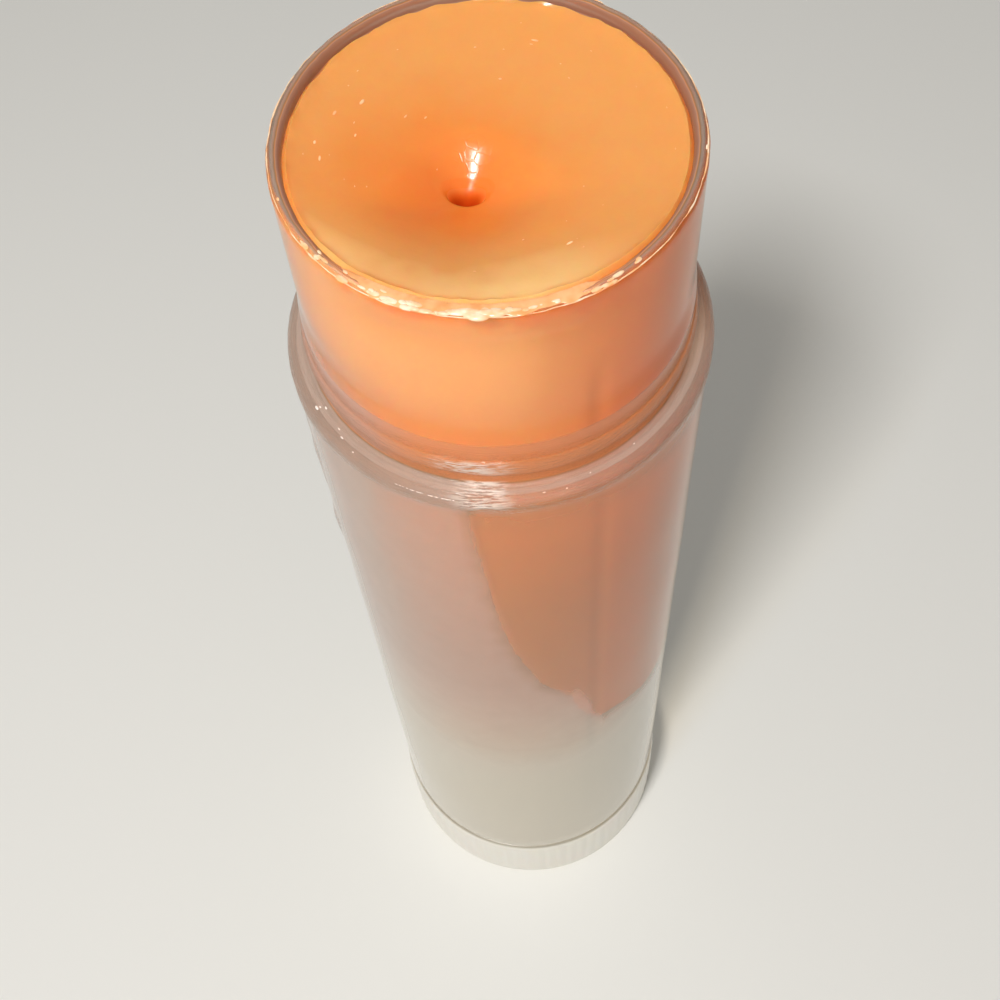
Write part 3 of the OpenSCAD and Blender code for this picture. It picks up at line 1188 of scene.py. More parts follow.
    def outline(self) -> Outline:
        """Draws the section, each point marked with how milky it looks there.

        Returns:
            The outline.
        """
        haze = self.haze
        body_r = self.bore_r + self.body_wall
        collar_r = self.neck_r + self.collar_out
        top = self.shoulder
        half = self.neck_wall / 2
        line = Outline(self.bore_r + self.foot_round, self.foot, haze.foot)
        line.line(body_r - self.foot_round, self.foot).round(self.foot_round, -90, 0)
        line.line(body_r, self.body_z[0], step=1.0, mark=haze.body_low)
        line.line(body_r, self.body_z[1], step=0.8, mark=haze.body)
        line.line(body_r, top - self.body_fine, step=0.7)
        line.line(body_r, top - self.lip_h - self.lip_r + body_r, step=0.3).line(self.lip_r, top - self.lip_h)
        line.line(self.lip_r, top - self.lip_round, step=0.2, mark=haze.lip)
        line.round(self.lip_round, 0, 90, steps=6)
        line.line(self.lip_r - self.lip_round - self.lip_flat, top, mark=haze.ledge)
        line.line(collar_r + self.fillet + self.fillet_run, top, step=0.08)
        line.line(collar_r + self.fillet, top, mark=haze.fillet).round(self.fillet, 270, 180, steps=6)
        line.line(collar_r, top + self.bead_z - self.bead_h / 2, mark=haze.collar)
        for i in range(1, self.bead_steps + 1):
            a = math.radians(-90 + 180 * i / self.bead_steps)
            line.line(
                collar_r + self.bead_out * math.cos(a), top + self.bead_z + self.bead_h / 2 * math.sin(a),
                mark=haze.collar + haze.bead * math.cos(a),
            )
        line.line(collar_r, top + self.collar_h - self.step_h / 2, step=0.3)
        for i in range(1, self.step_steps + 1):
            share = i / self.step_steps
            line.line(
                collar_r - self.collar_out * float(smooth_step(share, 0, 1)),
                top + self.collar_h + self.step_h * (share - 0.5), mark=haze.step,
            )
        line.line(self.neck_r, self.rim - half, step=0.35, mark=haze.neck)
        line.round(half, 0, 90, steps=6).round(half, 90, 180, steps=6)
        line.line(self.bore_r, self.rim - self.rim_fine, step=0.15).line(self.bore_r, top, step=0.4)
        line.line(self.bore_r, self.bore_z[0], step=0.4, mark=haze.bore)
        line.line(self.bore_r, self.bore_z[1], step=0.8, mark=haze.bore_low)
        line.line(self.bore_r, self.rib_low + self.rib_foot + CLOSE, step=0.8).line(self.bore_r, self.rib_low)
        edge = self.groove_flat / 2
        line.line(self.bore_r, self.groove_z + edge + self.groove_out)
        line.line(self.bore_r + self.groove_out, self.groove_z + edge)
        line.line(self.bore_r + self.groove_out, self.groove_z - edge)
        line.line(self.bore_r, self.groove_z - edge - self.groove_out)
        return line.line(self.bore_r, self.foot + self.foot_round)

    def wet_line(self, turns: Array) -> Array:
        """Gives the height down to which the balm wets the bore, by direction."""
        blur = self.wet_blur + self.wet_blur_right * smooth_step(turns, *self.wet_right)
        shares = np.linspace(-1, 1, self.wet_samples)
        samples = [np.interp(turns + share * blur, self.wet_turns, self.wet_heights) for share in shares]
        return sum(samples) / self.wet_samples

    def wet(self, grid: Turned, span: Span = (-0.2, 0.2)) -> Array:
        """Gives how far each point lies in the area where the balm wets the bore.

        Args:
            grid: the points
            span: the distances from the area's edge, into the area, where it begins and where it is complete

        Returns:
            The shares, from 0 to 1.
        """
        turns = grid.turn_from(0)
        run = math.radians(2) * self.bore_r
        slope = (self.wet_line(turns + 1) - self.wet_line(turns - 1)) / run
        depth = (grid.height - self.wet_line(turns)) / np.hypot(1, slope)
        return smooth_step(depth + self.wet_jag * ripple(grid.xyz(), size=0.8, seed=4.4), *span)

    def ribs(self, grid: Turned) -> Array:
        """Gives how far the guide ribs stand into the bore at each point."""
        reach = np.zeros_like(grid.radius)
        slope = smooth_step(grid.height, self.rib_high, self.rib_high - self.rib_fade)
        foot = smooth_step(grid.height, self.rib_low, self.rib_low + self.rib_foot)
        for i in range(self.rib_count):
            arc = np.radians(np.abs(grid.turn_from(self.rib_turn + 360 * i / self.rib_count))) * self.bore_r
            rib = smooth_step(arc, self.rib_w / 2 + self.rib_flank, self.rib_flat)
            reach = np.maximum(reach, rib * slope * foot)
        return reach * self.rib_in

    def over_shoulder(self, grid: Turned, span: Span) -> Array:
        """Gives a share that changes over a span of heights over the shoulder."""
        return smooth_step(grid.height - self.shoulder, *span)

    def over_rim(self, grid: Turned, span: Span) -> Array:
        """Gives a share that changes over a span of heights over the rim, which are below 0 on the barrel."""
        return smooth_step(grid.height - self.rim, *span)

    def fill_tints(
        self, grid: Turned, on_bore: Array, outside: Array
    ) -> tuple[Array, Array]:
        """Gives the tints that come from the wall and from the balm behind it.

        Args:
            grid: the points
            on_bore: the points of the bore
            outside: the points of the outer skin, from 0 to 1

        Returns:
            The marks haze and warmth.
        """
        haze = grid.mark.copy()
        soaked = self.wet(grid, self.soak_in)
        haze = np.where(on_bore & (grid.height > self.bore_z[1]), haze * (1 - self.soak * soaked), haze)
        behind = self.wet(grid, self.behind_in)
        # Painted shade: less milk on the right side below the shoulder
        clearer = self.clearing + self.right_shade_clearing * grid.near(self.right_turn, self.right_reach)
        haze = haze - self.over_shoulder(grid, self.clearing_shoulder) * outside * behind * clearer

        filled = np.maximum(smooth_step(grid.height, *self.fill_z), behind)
        filled = filled * self.over_rim(grid, self.fill_rim)
        wetted = Warmth.WETTED.value - Warmth.FILL_BEHIND.value
        wetted = wetted + self.top_warmth * self.over_shoulder(grid, self.top_shoulder)
        wetted = wetted * self.over_shoulder(grid, self.wetted_shoulder) * behind
        return haze, filled * (Warmth.FILL_BEHIND.value + wetted)

    def collar_tints(
        self, grid: Turned, outside: Array, haze: Array, warmth: Array
    ) -> tuple[Array, Array]:
        """Adds the tints of the collar, the ledge, and the neck's right side, which is made less milky and so
        darker as painted shade.

        Args:
            grid: the points
            outside: the points of the outer skin, from 0 to 1
            haze: the mark haze so far
            warmth: the mark warmth so far

        Returns:
            The marks haze and warmth.
        """
        jag = self.left_jag * ripple(grid.xyz(), size=1.5, seed=8.1)
        left = grid.near(self.left_turn - jag, self.left_reach)
        collar = self.over_shoulder(grid, self.collar_foot_shoulder)
        collar *= self.over_shoulder(grid, self.collar_fade_shoulder) * outside
        haze = haze + self.collar_left * collar * left
        warm = collar * self.over_shoulder(grid, self.collar_warm_shoulder)
        target = Warmth.COLLAR.value
        target = target + (Warmth.COLLAR_LEFT.value - target) * np.minimum(2 * left, 1)
        warmth = warmth + warm * (target - warmth)

        # Painted shade: less milk on the neck's right side
        right = grid.near(self.dark_turn, self.dark_reach) * outside
        haze = haze * (1 - self.painted_shade * right * self.over_shoulder(grid, self.dark_shoulder))
        ledge = self.over_shoulder(grid, self.ledge_low_shoulder) * outside
        ledge *= self.over_shoulder(grid, self.ledge_high_shoulder)
        return haze, warmth - self.ledge_cool * ledge

    def rim_tints(
        self, grid: Turned, outside: Array, haze: Array, warmth: Array
    ) -> tuple[Array, Array]:
        """Adds the tints of the rim and of the film over its front to the marks haze and warmth."""
        on_rim = self.over_rim(grid, self.crest_rim)
        on_rim *= smooth_step(grid.radius, self.neck_r - self.crest_in[0], self.bore_r + self.crest_in[1])
        jag = self.film_jag * ripple(grid.xyz(), size=0.8, seed=2.9)
        front = grid.near(self.film_turn, self.film_reach, jag)
        haze = haze + on_rim * (self.haze.rim + self.film_rim_haze * front - haze)
        target = Warmth.RIM.value + (Warmth.FILMED.value - Warmth.RIM.value) * front
        warmth = warmth + on_rim * (target - warmth)
        film = self.over_rim(grid, self.film_rim) * outside * front
        haze = haze + self.film_haze * film * (1 - on_rim)
        return haze, warmth + film * (Warmth.FILMED.value - warmth)

    def worn_edges(self, grid: Turned, outside: Array) -> Array:
        """Gives how far each point lies on the lip and the collar, where the skin is worn."""
        edges = self.over_shoulder(grid, self.edge_low_shoulder)
        return edges * self.over_shoulder(grid, self.edge_high_shoulder) * outside

    def glint_marks(self, grid: Turned, outside: Array) -> tuple[Array, Array]:
        """Gives the marks for how crinkled the skin is, and for the white streaks painted as a highlight."""
        places = grid.xyz()
        jag = self.glint_jag * ripple(places * (1, 1, 2), size=0.7, seed=4.9)
        above = grid.height - self.shoulder
        on_collar = grid.near(self.collar_glint_turn, self.collar_glint_reach, jag)
        on_collar *= smooth_step(np.abs(above - self.collar_glint_z), *self.collar_glint_up)
        on_ledge = grid.near(self.ledge_glint_turn, self.ledge_glint_reach, jag)
        on_ledge *= smooth_step(np.abs(above - self.ledge_glint_z), *self.ledge_glint_up)
        scuff = self.scuff * outside * np.maximum(on_collar, on_ledge)
        crinkle = self.crinkle + self.crinkle_spread * ripple(places, size=1.6, seed=2.7)
        return self.worn_edges(grid, outside) * crinkle + self.glint_fold_depth * scuff, scuff

    def shape_skin(self, grid: Turned, on_bore: Array, outside: Array) -> None:
        """Raises the ribs, the faint waves of the skin and the flash along the mould seam."""
        places = grid.xyz()
        edges = self.worn_edges(grid, outside)
        grid.radius -= np.where(on_bore, self.ribs(grid), 0)
        grid.radius += outside * self.waviness * (ripple(places, size=5.0, seed=3.1) - 1)
        mean, spread = self.seam_lumps
        lumps = np.clip(mean + spread * ripple(places * (0, 0, 1), size=1.9, seed=8.4), 0, 1)
        band = smooth_step(grid.height, *self.seam_low_z) * smooth_step(grid.height, *self.seam_high_z)
        flash = grid.near(self.seam_turn, self.seam_reach) * outside
        grid.radius += flash * lumps * band * self.seam_flash
        grid.radius += edges * self.edge_wear * ripple(places, size=0.6, seed=6.1)

    def wear_rim(self, grid: Turned, places: Array) -> None:
        """Nicks the rim by where its points were at first, and lowers its front under the film."""
        near_rim = self.over_rim(grid, self.rim_top_rim)
        nick = 0.9 * ripple(places, size=0.55, seed=1.7) + 0.5 * ripple(places, size=0.25, seed=5.2)
        swell = ripple(places, size=4.0, seed=9.9)
        worn = (0.55 + 0.45 * np.clip(nick, -1, 1) + 0.3 * swell).clip(0, 1.3)
        grid.height -= near_rim * self.bed * grid.near(self.film_turn, self.bed_reach)
        grid.height -= near_rim * self.rim_nick * worn
        grid.radius += near_rim * self.rim_rough * ripple(places, size=0.4, seed=6.6)

    def build(self) -> Object:
        """Builds the barrel and returns it."""
        grid = Turned.of(self.outline(), self.columns)
        places = grid.xyz()
        edge = (self.neck_r - self.crest_in[0], self.rim - self.crest_in[0])
        off_edge = np.abs(grid.radius[:, 0] - edge[0]) + np.abs(grid.height[:, 0] - edge[1])
        on_bore = grid.radius < self.bore_r + CLOSE
        outside = smooth_step(grid.radius - self.bore_r, *self.skin_r)
        haze, warmth = self.fill_tints(grid, on_bore, outside)
        haze, warmth = self.collar_tints(grid, outside, haze, warmth)
        haze, warmth = self.rim_tints(grid, outside, haze, warmth)
        crinkle, scuff = self.glint_marks(grid, outside)
        self.shape_skin(grid, on_bore, outside)
        self.wear_rim(grid, places)
        self.rim_line = grid.xyz()[int(off_edge.argmin())]
        marks = {"haze": haze, "crinkle": crinkle, "warmth": warmth, "scuff": scuff}
        piece = turned_piece("barrel_shell", grid, self.finish.material(), marks=marks)
        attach(piece, Body.BARREL.value)
        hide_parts("barrel")
        return piece


@dataclass
class ThumbWheel:
    """The thumb wheel: a toothed grip ring, a disc, a slotted snap collar, and a hub with a square socket.

    Lengths are in millimetres. The ring's radius comes from the frame, and the teeth's crest and flank are
    shares of the distance from one tooth to the next.
    """

    finish: MouldedPolypropylene
    ring_r: float
    ring_h: float = 5.4
    tooth_count: int = 72
    tooth_depth: float = 0.04
    tooth_crest: float = 0.1
    tooth_flank: float = 0.42
    tooth_fade: float = 0.12
    band_h: float = 0.6
    band_round: float = 0.25
    recess_h: float = 0.8
    stand_w: float = 1.5
    disc_t: float = 1.4
    snap_r: float = 6.42
    snap_top: float = 8.4
    snap_mid: float = 7.5
    snap_wall: float = 1.0
    snap_out: float = 0.3
    snap_flat: float = 0.3
    snap_taper: float = 0.08
    slot_count: int = 4
    slot_w: float = 0.8
    slot_low: float = 5.7
    hub_r: float = 2.94
    hub_top: float = 7.6
    socket_w: float = 2.64
    # Painted shade along the ring's top edge, in the seam under the barrel's foot
    dust: float = 0.85
    seam_shade_edge: Span = (-0.02, -0.14)
    seam_shade_top: Span = (-0.2, -0.05)
    columns: int = 720

    def build(self) -> Object:
        """Builds the wheel and returns it."""
        root_r = self.ring_r - self.tooth_depth
        socket = self.socket_w / 2
        disc_top = self.recess_h + self.disc_t
        bore_r = self.snap_r - self.snap_wall
        edge = self.snap_flat / 2
        line = Outline(socket, self.recess_h)
        line.line(self.ring_r - self.stand_w - self.recess_h, self.recess_h, step=1.0)
        line.line(self.ring_r - self.stand_w, 0, step=0.3).line(root_r - self.band_round, 0, step=0.4)
        line.round(self.band_round, -90, 0).line(root_r, self.ring_h - self.band_round, step=0.12)
        line.round(self.band_round, 0, 90).line(self.snap_r, self.ring_h, step=0.4)
        line.line(self.snap_r, self.slot_low)
        first = len(line.points) - 1
        line.line(self.snap_r, self.snap_mid - edge - self.snap_out)
        line.line(self.snap_r + self.snap_out, self.snap_mid - edge)
        line.line(self.snap_r + self.snap_out, self.snap_mid + edge)
        line.line(self.snap_r, self.snap_mid + edge + self.snap_out)
        line.line(self.snap_r - self.snap_taper, self.snap_top).line(bore_r, self.snap_top)
        line.line(bore_r, self.slot_low)
        last = len(line.points) - 1
        line.line(bore_r, disc_top).line(self.hub_r, disc_top, step=0.6).line(self.hub_r, self.hub_top)
        line.line(socket, self.hub_top, step=0.5)
        grid = Turned.of(line, self.columns)
        grid.radius *= np.where(grid.radius < socket + CLOSE, grid.square(), 1)

        half = round(self.slot_w / 2 / self.snap_r * self.columns / FULL_TURN)
        middles = [round((i + 0.5) / self.slot_count * self.columns) for i in range(self.slot_count)]
        material = self.finish.material()
        # Painted shade in the seam under the barrel's foot
        dust = self.dust * smooth_step(grid.radius - self.ring_r, *self.seam_shade_edge)
        dust = dust * smooth_step(grid.height - self.ring_h, *self.seam_shade_top)
        piece = turned_piece(
            "thumb_wheel_ring", grid, material, gaps=[(first, last, m - half, m + half) for m in middles],
            marks={"dust": dust},
        )
        Ridges(
            around=self.tooth_count, lead=0, start=0, rise=self.tooth_depth, crest=self.tooth_crest,
            flank=self.tooth_flank, inner=root_r - CLOSE, outer=self.ring_r, low=self.band_h,
            high=self.ring_h - self.band_h, fade=self.tooth_fade,
        ).raise_on(piece, material)
        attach(piece, Body.WHEEL.value)
        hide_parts("thumb_wheel")
        return piece


@dataclass
class Spindle:
    """The spindle: a square foot, a flange and a core with a left-handed thread.

    Lengths are in millimetres, and its top comes from the frame. The foot's corners are cut off at corner
    times its half width.
    """

    finish: MouldedPolypropylene
    top: float
    foot: float = 0.8
    square_w: float = 2.6
    corner: float = 1.38
    flange_low: float = 7.6
    flange_t: float = 0.8
    flange_r: float = 2.94
    flange_edge: float = 0.1
    core_r: float = 1.7
    thread_out: float = 0.55
    lead: float = 3.0
    thread_low: float = 9.5
    root_w: float = 1.1
    crest_w: float = 0.5
    thread_run: float = 0.1
    thread_fade: float = 0.4
    tip: float = 0.5
    columns: int = 64

    def build(self) -> Object:
        """Builds the spindle and returns it."""
        half = self.square_w / 2
        edge = self.flange_edge
        flange_high = self.flange_low + self.flange_t
        line = Outline(AXIS_RING, self.foot)
        line.line(half, self.foot).line(half, self.flange_low - CLOSE, step=1.0)
        line.line(self.flange_r - edge, self.flange_low).line(self.flange_r, self.flange_low + edge)
        line.line(self.flange_r, flange_high - edge).line(self.flange_r - edge, flange_high)
        line.line(self.core_r, flange_high).line(self.core_r, self.top - self.tip, step=0.11)
        line.line(self.core_r - self.tip, self.top).line(AXIS_RING, self.top)
        grid = Turned.of(line, self.columns)
        in_foot = (grid.height < self.flange_low) & (grid.radius > half - CLOSE)
        grid.radius *= np.where(in_foot, np.minimum(grid.square(), self.corner), 1)
        material = self.finish.material()
        piece = turned_piece("spindle_screw", grid, material, closed=False)
        Ridges(
            around=1, lead=self.lead, start=self.thread_low, rise=self.thread_out,
            crest=self.crest_w / self.lead, flank=(self.root_w - self.crest_w) / 2 / self.lead,
            inner=self.core_r - CLOSE, outer=self.core_r + CLOSE, low=self.thread_low - self.thread_run,
            high=self.top - self.tip - self.root_w, fade=self.thread_fade,
        ).raise_on(piece, material)
        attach(piece, Body.WHEEL.value)
        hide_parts("spindle")
        return piece


@dataclass
class Elevator:
    """The elevator: a cup notched for the barrel's ribs, with a threaded nut and fins that grip the balm.

    Lengths are in millimetres, and its lowest and highest points come from the frame.
    """

    finish: MouldedPolypropylene
    low: float
    high: float
    cup_r: float = 6.42
    foot_edge: float = 0.15
    top_edge: float = 0.1
    wall: float = 0.95
    floor: float = 1.0
    nut_h: float = 6.0
    nut_r: float = 3.43
    nut_bore_r: float = 2.33
    bore_edge: float = 0.05
    thread_in: float = 0.51
    lead: float = 3.0
    thread_start: float = 11.0
    root_w: float = 2.1
    crest_w: float = 1.5
    thread_end: float = 0.5
    thread_fade: float = 0.45
    notch_r: float = 5.93
    notch_w: float = 0.84
    notch_flank: float = 0.07
    fin_h: float = 3.5
    fin_t: float = 0.6
    fin_flank: float = 0.05
    fin_drop: float = 0.02
    rib_count: int = 4
    rib_turn: float = -63.0
    columns: int = 288

    def build(self) -> Object:
        """Builds the elevator and returns it."""
        floor = self.low + self.floor
        nut_top = self.low + self.nut_h
        bore = self.cup_r - self.wall
        half_notch, half_fin = self.notch_w / 2, self.fin_t / 2
        line = Outline(self.nut_bore_r, self.low)
        line.line(self.cup_r - self.foot_edge, self.low, step=1.0).line(self.cup_r, self.low + self.foot_edge)
        line.line(self.cup_r, self.high - self.top_edge, step=1.0).line(self.cup_r - self.top_edge, self.high)
        line.line(bore, self.high).line(bore, floor + self.fin_h, step=1.0).line(bore, floor, mark=1.0)
        line.line(self.nut_r, floor, step=0.4).line(self.nut_r, floor + self.fin_h, mark=0.0)
        line.line(self.nut_r, nut_top).line(self.nut_bore_r, nut_top)
        line.line(self.nut_bore_r, self.low + self.bore_edge, step=0.12)
        grid = Turned.of(line, self.columns)
        fins = np.zeros_like(grid.radius)
        notches = np.zeros_like(grid.radius)
        for i in range(self.rib_count):
            rib = self.rib_turn + 360 * i / self.rib_count
            across = np.radians(np.abs(grid.turn_from(rib))) * self.cup_r
            notch = smooth_step(across, half_notch + self.notch_flank, half_notch - self.notch_flank)
            notches = np.maximum(notches, notch)
            across = np.radians(np.abs(grid.turn_from(rib + 180 / self.rib_count))) * grid.radius
            fins = np.maximum(fins, smooth_step(across, half_fin + self.fin_flank, half_fin - self.fin_flank))
        cut = grid.radius - notches * (grid.radius - self.notch_r)
        grid.radius = np.where(grid.radius > self.notch_r, cut, grid.radius)
        grid.height += grid.mark * fins * (self.fin_h - self.fin_drop)
        material = self.finish.material()
        piece = turned_piece("elevator_cup", grid, material)
        Ridges(
            around=1, lead=self.lead, start=self.thread_start, rise=-self.thread_in,
            crest=self.crest_w / self.lead, flank=(self.root_w - self.crest_w) / 2 / self.lead,
            inner=self.nut_bore_r - CLOSE, outer=self.nut_bore_r + CLOSE, low=self.low + self.thread_end,
            high=nut_top - self.thread_end, fade=self.thread_fade,
        ).raise_on(piece, material)
        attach(piece, Body.CARRIER.value)
        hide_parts("elevator")
        return piece


@dataclass
class BalmTop:
    """The rows of the balm's grid that make its top, down into the pit."""

    rows: slice
    x: Array
    y: Array
    depth: Array
    in_pit: Array


@dataclass
class Balm:
    """The poured balm: a shallow bowl with a funnel and a shrink pit in its top, and a ragged edge.

    Lengths are in millimetres, directions in degrees, and tones are shares from the pit's floor to the palest
    band.
    """

    finish: BalmWax
    barrel: Barrel
    top: float
    edge_r: float = 6.42
    edge_drop: float = 0.04
    edge_cut: float = 0.05
    drape: Span = (0.4, 0.12)
    rim_w: float = 0.3
    wet_r: float = 6.53
    rib_bed: float = 0.3
    bowl_r: float = 6.22
    bowl_depth: float = 0.6
    cone_slope: float = 0.58
    cone_r: float = 1.88
    cone_wide: float = 1.7
    cone_back_wide: float = 1.0
    cone_widens: Span = (0.5, -1.3)
    cone_back: float = 0.85
    cone_front: float = 1.8
    cone_blend: float = 0.22
    dip_depth: float = 0.35
    dip_fade: float = 2.0
    pit_x: float = -0.74
    pit_y: float = -0.5
    pit_mouth: float = 0.6
    pit_wide: float = 1.55
    pit_long: float = 0.92
    pit_depth: float = 0.74
    pit_lean: float = 0.36
    pit_lean_left: float = 0.12
    front_turn: float = -92.0
    front_reach: Span = (85.0, 20.0)
    front_r: float = 3.6
    front_rise: float = 0.3
    climb: float = 0.17
    climb_reach: float = 0.13
    wave: float = 0.035
    fine_wave: float = 0.01
    calm_w: float = 1.0
    cup_top: float = 19.2
    cup_floor: float = 9.72
    cup_r: float = 5.45
    fine_z: float = 21.0
    nut_top: float = 14.7
    nut_r: float = 3.45
    hole_r: float = 2.35
    hole_top: float = 54.1
    notch_r: float = 5.93
    notch_w: float = 0.84
    notch_flank: float = 0.07
    notch_top: float = 55.92
    notch_end: float = 0.06
    rib_count: int = 4
    rib_turn: float = -63.0
    columns: int = 288

    # The pit below its mouth, as radii and shares of its depth
    pit_shape: tuple[tuple[float, float], ...] = (
        (0.57, 0.03), (0.535, 0.07), (0.5, 0.125), (0.465, 0.19), (0.425, 0.28), (0.38, 0.4), (0.33, 0.52),
        (0.27, 0.66), (0.2, 0.81), (0.12, 0.94), (0.05, 1.0),
    )

    # How pale the top is: deeper orange round the pit, partly the wax's own colour and partly painted shade,
    # paler away from it, and painted light in a band along the front edge and towards the front
    deep_tone: float = 0.36
    deep_x: float = -1.5
    deep_y: float = -1.5
    deep_reach: float = 6.4
    # Painted shade: the depths over which the pit darkens
    pit_shade: Span = (0.16, 0.58)
    off_pit_tone: float = 0.44
    front_tone: float = 0.08
    front_y: Span = (0.5, -3.5)
    front_x: Span = (4.0, 0.0)
    band_tone: float = 0.2
    band_y: Span = (-2.2, -4.8)
    band_x: Span = (5.5, 0.5)
    band_tilt: float = 0.2
    band_jag: float = 5.0
    band_edge: Span = (-0.3, -0.1)
    band_edge_share: float = 0.5
    cloud: float = 0.07
    fine_cloud: float = 0.04
    craze_x: float = 0.25
    craze_y: float = 1.15
    craze_reach: Span = (0.8, 0.45)

    # How pale the side is: painted light towards the top and on the side towards the key lamp, and painted
    # shade on the far right side
    side_tone: float = 0.58
    upper_tone: float = 0.1
    upper_z: Span = (46.0, 57.0)
    lit_tone: float = 0.21
    lit_turn: float = -115.0
    lit_reach: Span = (75.0, 20.0)
    far_shade_tone: float = 0.2

    def surface(self, x: Array, y: Array) -> Array:
        """Gives the height of the balm's top.

        Args:
            x: places across the stick
            y: places towards the back

        Returns:
            The heights, in the shape of x.
        """
        r = np.hypot(x, y)
        bowl = self.top - self.bowl_depth * (1 - np.minimum(r / self.bowl_r, 1) ** 2)
        along = y - self.pit_y
        wide = self.cone_back_wide
        wide = wide + (self.cone_wide - wide) * smooth_step(along, *self.cone_widens)
        long = np.where(along > 0, self.cone_back, self.cone_front)
        off_pit = np.hypot((x - self.pit_x) / wide, along / long)
        off_pit = np.hypot(off_pit, self.pit_mouth / 2)
        cone = self.cone_blend * np.log1p(np.exp((self.cone_r - off_pit) / self.cone_blend))
        funnel = self.cone_slope * cone + self.dip_depth * np.exp(-off_pit / self.dip_fade)

        places = np.stack([x, y, np.zeros_like(x)], axis=-1)
        off_front = (np.degrees(np.arctan2(y, x)) - self.front_turn + 180) % 360 - 180
        rise = smooth_step(np.abs(off_front), *self.front_reach) * smooth_step(r, self.front_r, self.edge_r)
        ragged = 1 + 0.9 * ripple(places, size=0.7, seed=2.2) + 0.4 * ripple(places, size=0.3, seed=4.1)
        inward = self.edge_r - np.minimum(r, self.edge_r)
        climb = self.climb * ragged * np.exp(-inward / self.climb_reach)
        waves = self.wave * ripple(places, size=2.6, seed=7.7)
        waves += self.fine_wave * ripple(places, size=0.8, seed=5.9)
        calm = smooth_step(r, self.edge_r, self.edge_r - self.calm_w)
        return bowl - funnel + self.front_rise * rise + climb + waves * calm

    def outline(self) -> tuple[Outline, int, int]:
        """Draws the section.

        Returns:
            The outline, and the numbers of the points where its top and its pit begin.
        """
        line = Outline(AXIS_RING, self.hole_top)
        line.line(self.hole_r, self.hole_top).line(self.hole_r, self.nut_top, step=2.0)
        line.line(self.nut_r, self.nut_top).line(self.nut_r, self.cup_floor, step=1.0)
        line.line(self.cup_r, self.cup_floor, step=0.6).line(self.cup_r, self.cup_top, step=1.0)
        line.line(self.edge_r, self.cup_top).line(self.edge_r, self.fine_z, step=0.6)
        line.line(self.edge_r, self.notch_top - self.notch_end, step=0.3)
        line.line(self.edge_r, self.notch_top + self.notch_end)
        line.line(self.edge_r, self.top - self.drape[0], step=0.5)
        line.line(self.edge_r, self.top - self.drape[1], mark=1.0)
        top = len(line.points)
        line.line(self.edge_r - self.edge_cut, self.top)
        line.line(self.edge_r - self.calm_w, self.top, step=0.06)
        line.line(self.pit_mouth, self.top, step=0.11)
        pit = len(line.points)
        for radius, share in self.pit_shape:
            line.line(radius, self.top - self.pit_depth * share)
        return line, top, pit

    def shape_side(self, grid: Turned) -> None:
        """Cuts the grooves over the barrel's ribs, and swells the side where it wets the bore."""
        wet = self.barrel.wet(grid) * (grid.radius > self.edge_r - CLOSE)
        soaked = self.wet_r - self.rib_bed * self.barrel.ribs(grid)
        half = self.notch_w / 2
        for i in range(self.rib_count):
            across = np.abs(grid.turn_from(self.rib_turn + 360 * i / self.rib_count))
            across = np.radians(across) * self.edge_r
            notch = smooth_step(across, half + self.notch_flank, half - self.notch_flank)
            notch *= grid.height < self.notch_top
            cut = grid.radius - notch * (grid.radius - self.notch_r)
            grid.radius = np.where(grid.radius > self.notch_r, cut, grid.radius)
        grid.radius += wet * (soaked - grid.radius)

    def spread_top(self, grid: Turned, first: int, pit: int) -> BalmTop:
        """Draws the top's rings towards the pit, off the stick's axis.

        Args:
            grid: the balm's grid
            first: the top's first row
            pit: the pit's first row

        Returns:
            The top.
        """
        rows = slice(first, None)
        r = grid.radius[rows]
        pull = smooth_step(r, self.edge_r - self.rim_w, self.pit_mouth)
        wide = 1 + (self.pit_wide - 1) * pull
        long = 1 + (self.pit_long - 1) * pull
        return BalmTop(
            rows=rows,
            x=self.pit_x * pull + r * np.cos(grid.azimuth[rows]) * wide,
            y=self.pit_y * pull + r * np.sin(grid.azimuth[rows]) * long,
            depth=self.top - grid.height[rows],
            in_pit=np.arange(len(r))[:, None] >= pit - first,
        )

    def tones(self, grid: Turned, points: Array, top: BalmTop) -> Array:
        """Gives how pale each point is.

        Args:
            grid: the balm's grid
            points: its points
            top: the top's rows

        Returns:
            The mark tone.
        """
        x, y = top.x, top.y
        flat = points[top.rows] * (1, 1, 0)
        clouds = self.cloud * ripple(flat, size=1.7, seed=5.5)
        clouds += self.fine_cloud * ripple(flat, size=0.6, seed=8.8)
        # Deeper orange round the pit, partly the wax's own colour and partly painted shade; paler away from
        # it
        away = np.hypot(x - self.deep_x, y - self.deep_y) / self.deep_reach
        pale_off_pit = smooth_step(away + clouds, 0.0, 1.0)
        # Painted light: a pale band along the front edge, and paler towards the front
        band = smooth_step(y + self.band_tilt * x + self.band_jag * clouds, *self.band_y)
        near_edge = smooth_step(grid.radius[top.rows] - self.edge_r, *self.band_edge)
        band *= smooth_step(x, *self.band_x) * (1 - self.band_edge_share * near_edge)
        front = smooth_step(y, *self.front_y) * smooth_step(x, *self.front_x)
        # Painted light towards the top and on the side towards the key lamp, painted shade on the far right
        # side
        upper = smooth_step(grid.height, *self.upper_z)
        lit = grid.near(self.lit_turn, self.lit_reach) * upper
        far = grid.near(self.barrel.dark_turn, self.barrel.dark_reach)
        tone = self.side_tone + self.upper_tone * upper + self.lit_tone * lit - self.far_shade_tone * far
        # Painted shade: darker down into the pit
        tone[top.rows] = np.where(
            top.in_pit, self.deep_tone * (1 - smooth_step(top.depth, *self.pit_shade)),
            self.deep_tone + self.off_pit_tone * pale_off_pit + self.band_tone * band + self.front_tone * pale_off_pit * front,
        )
        return tone

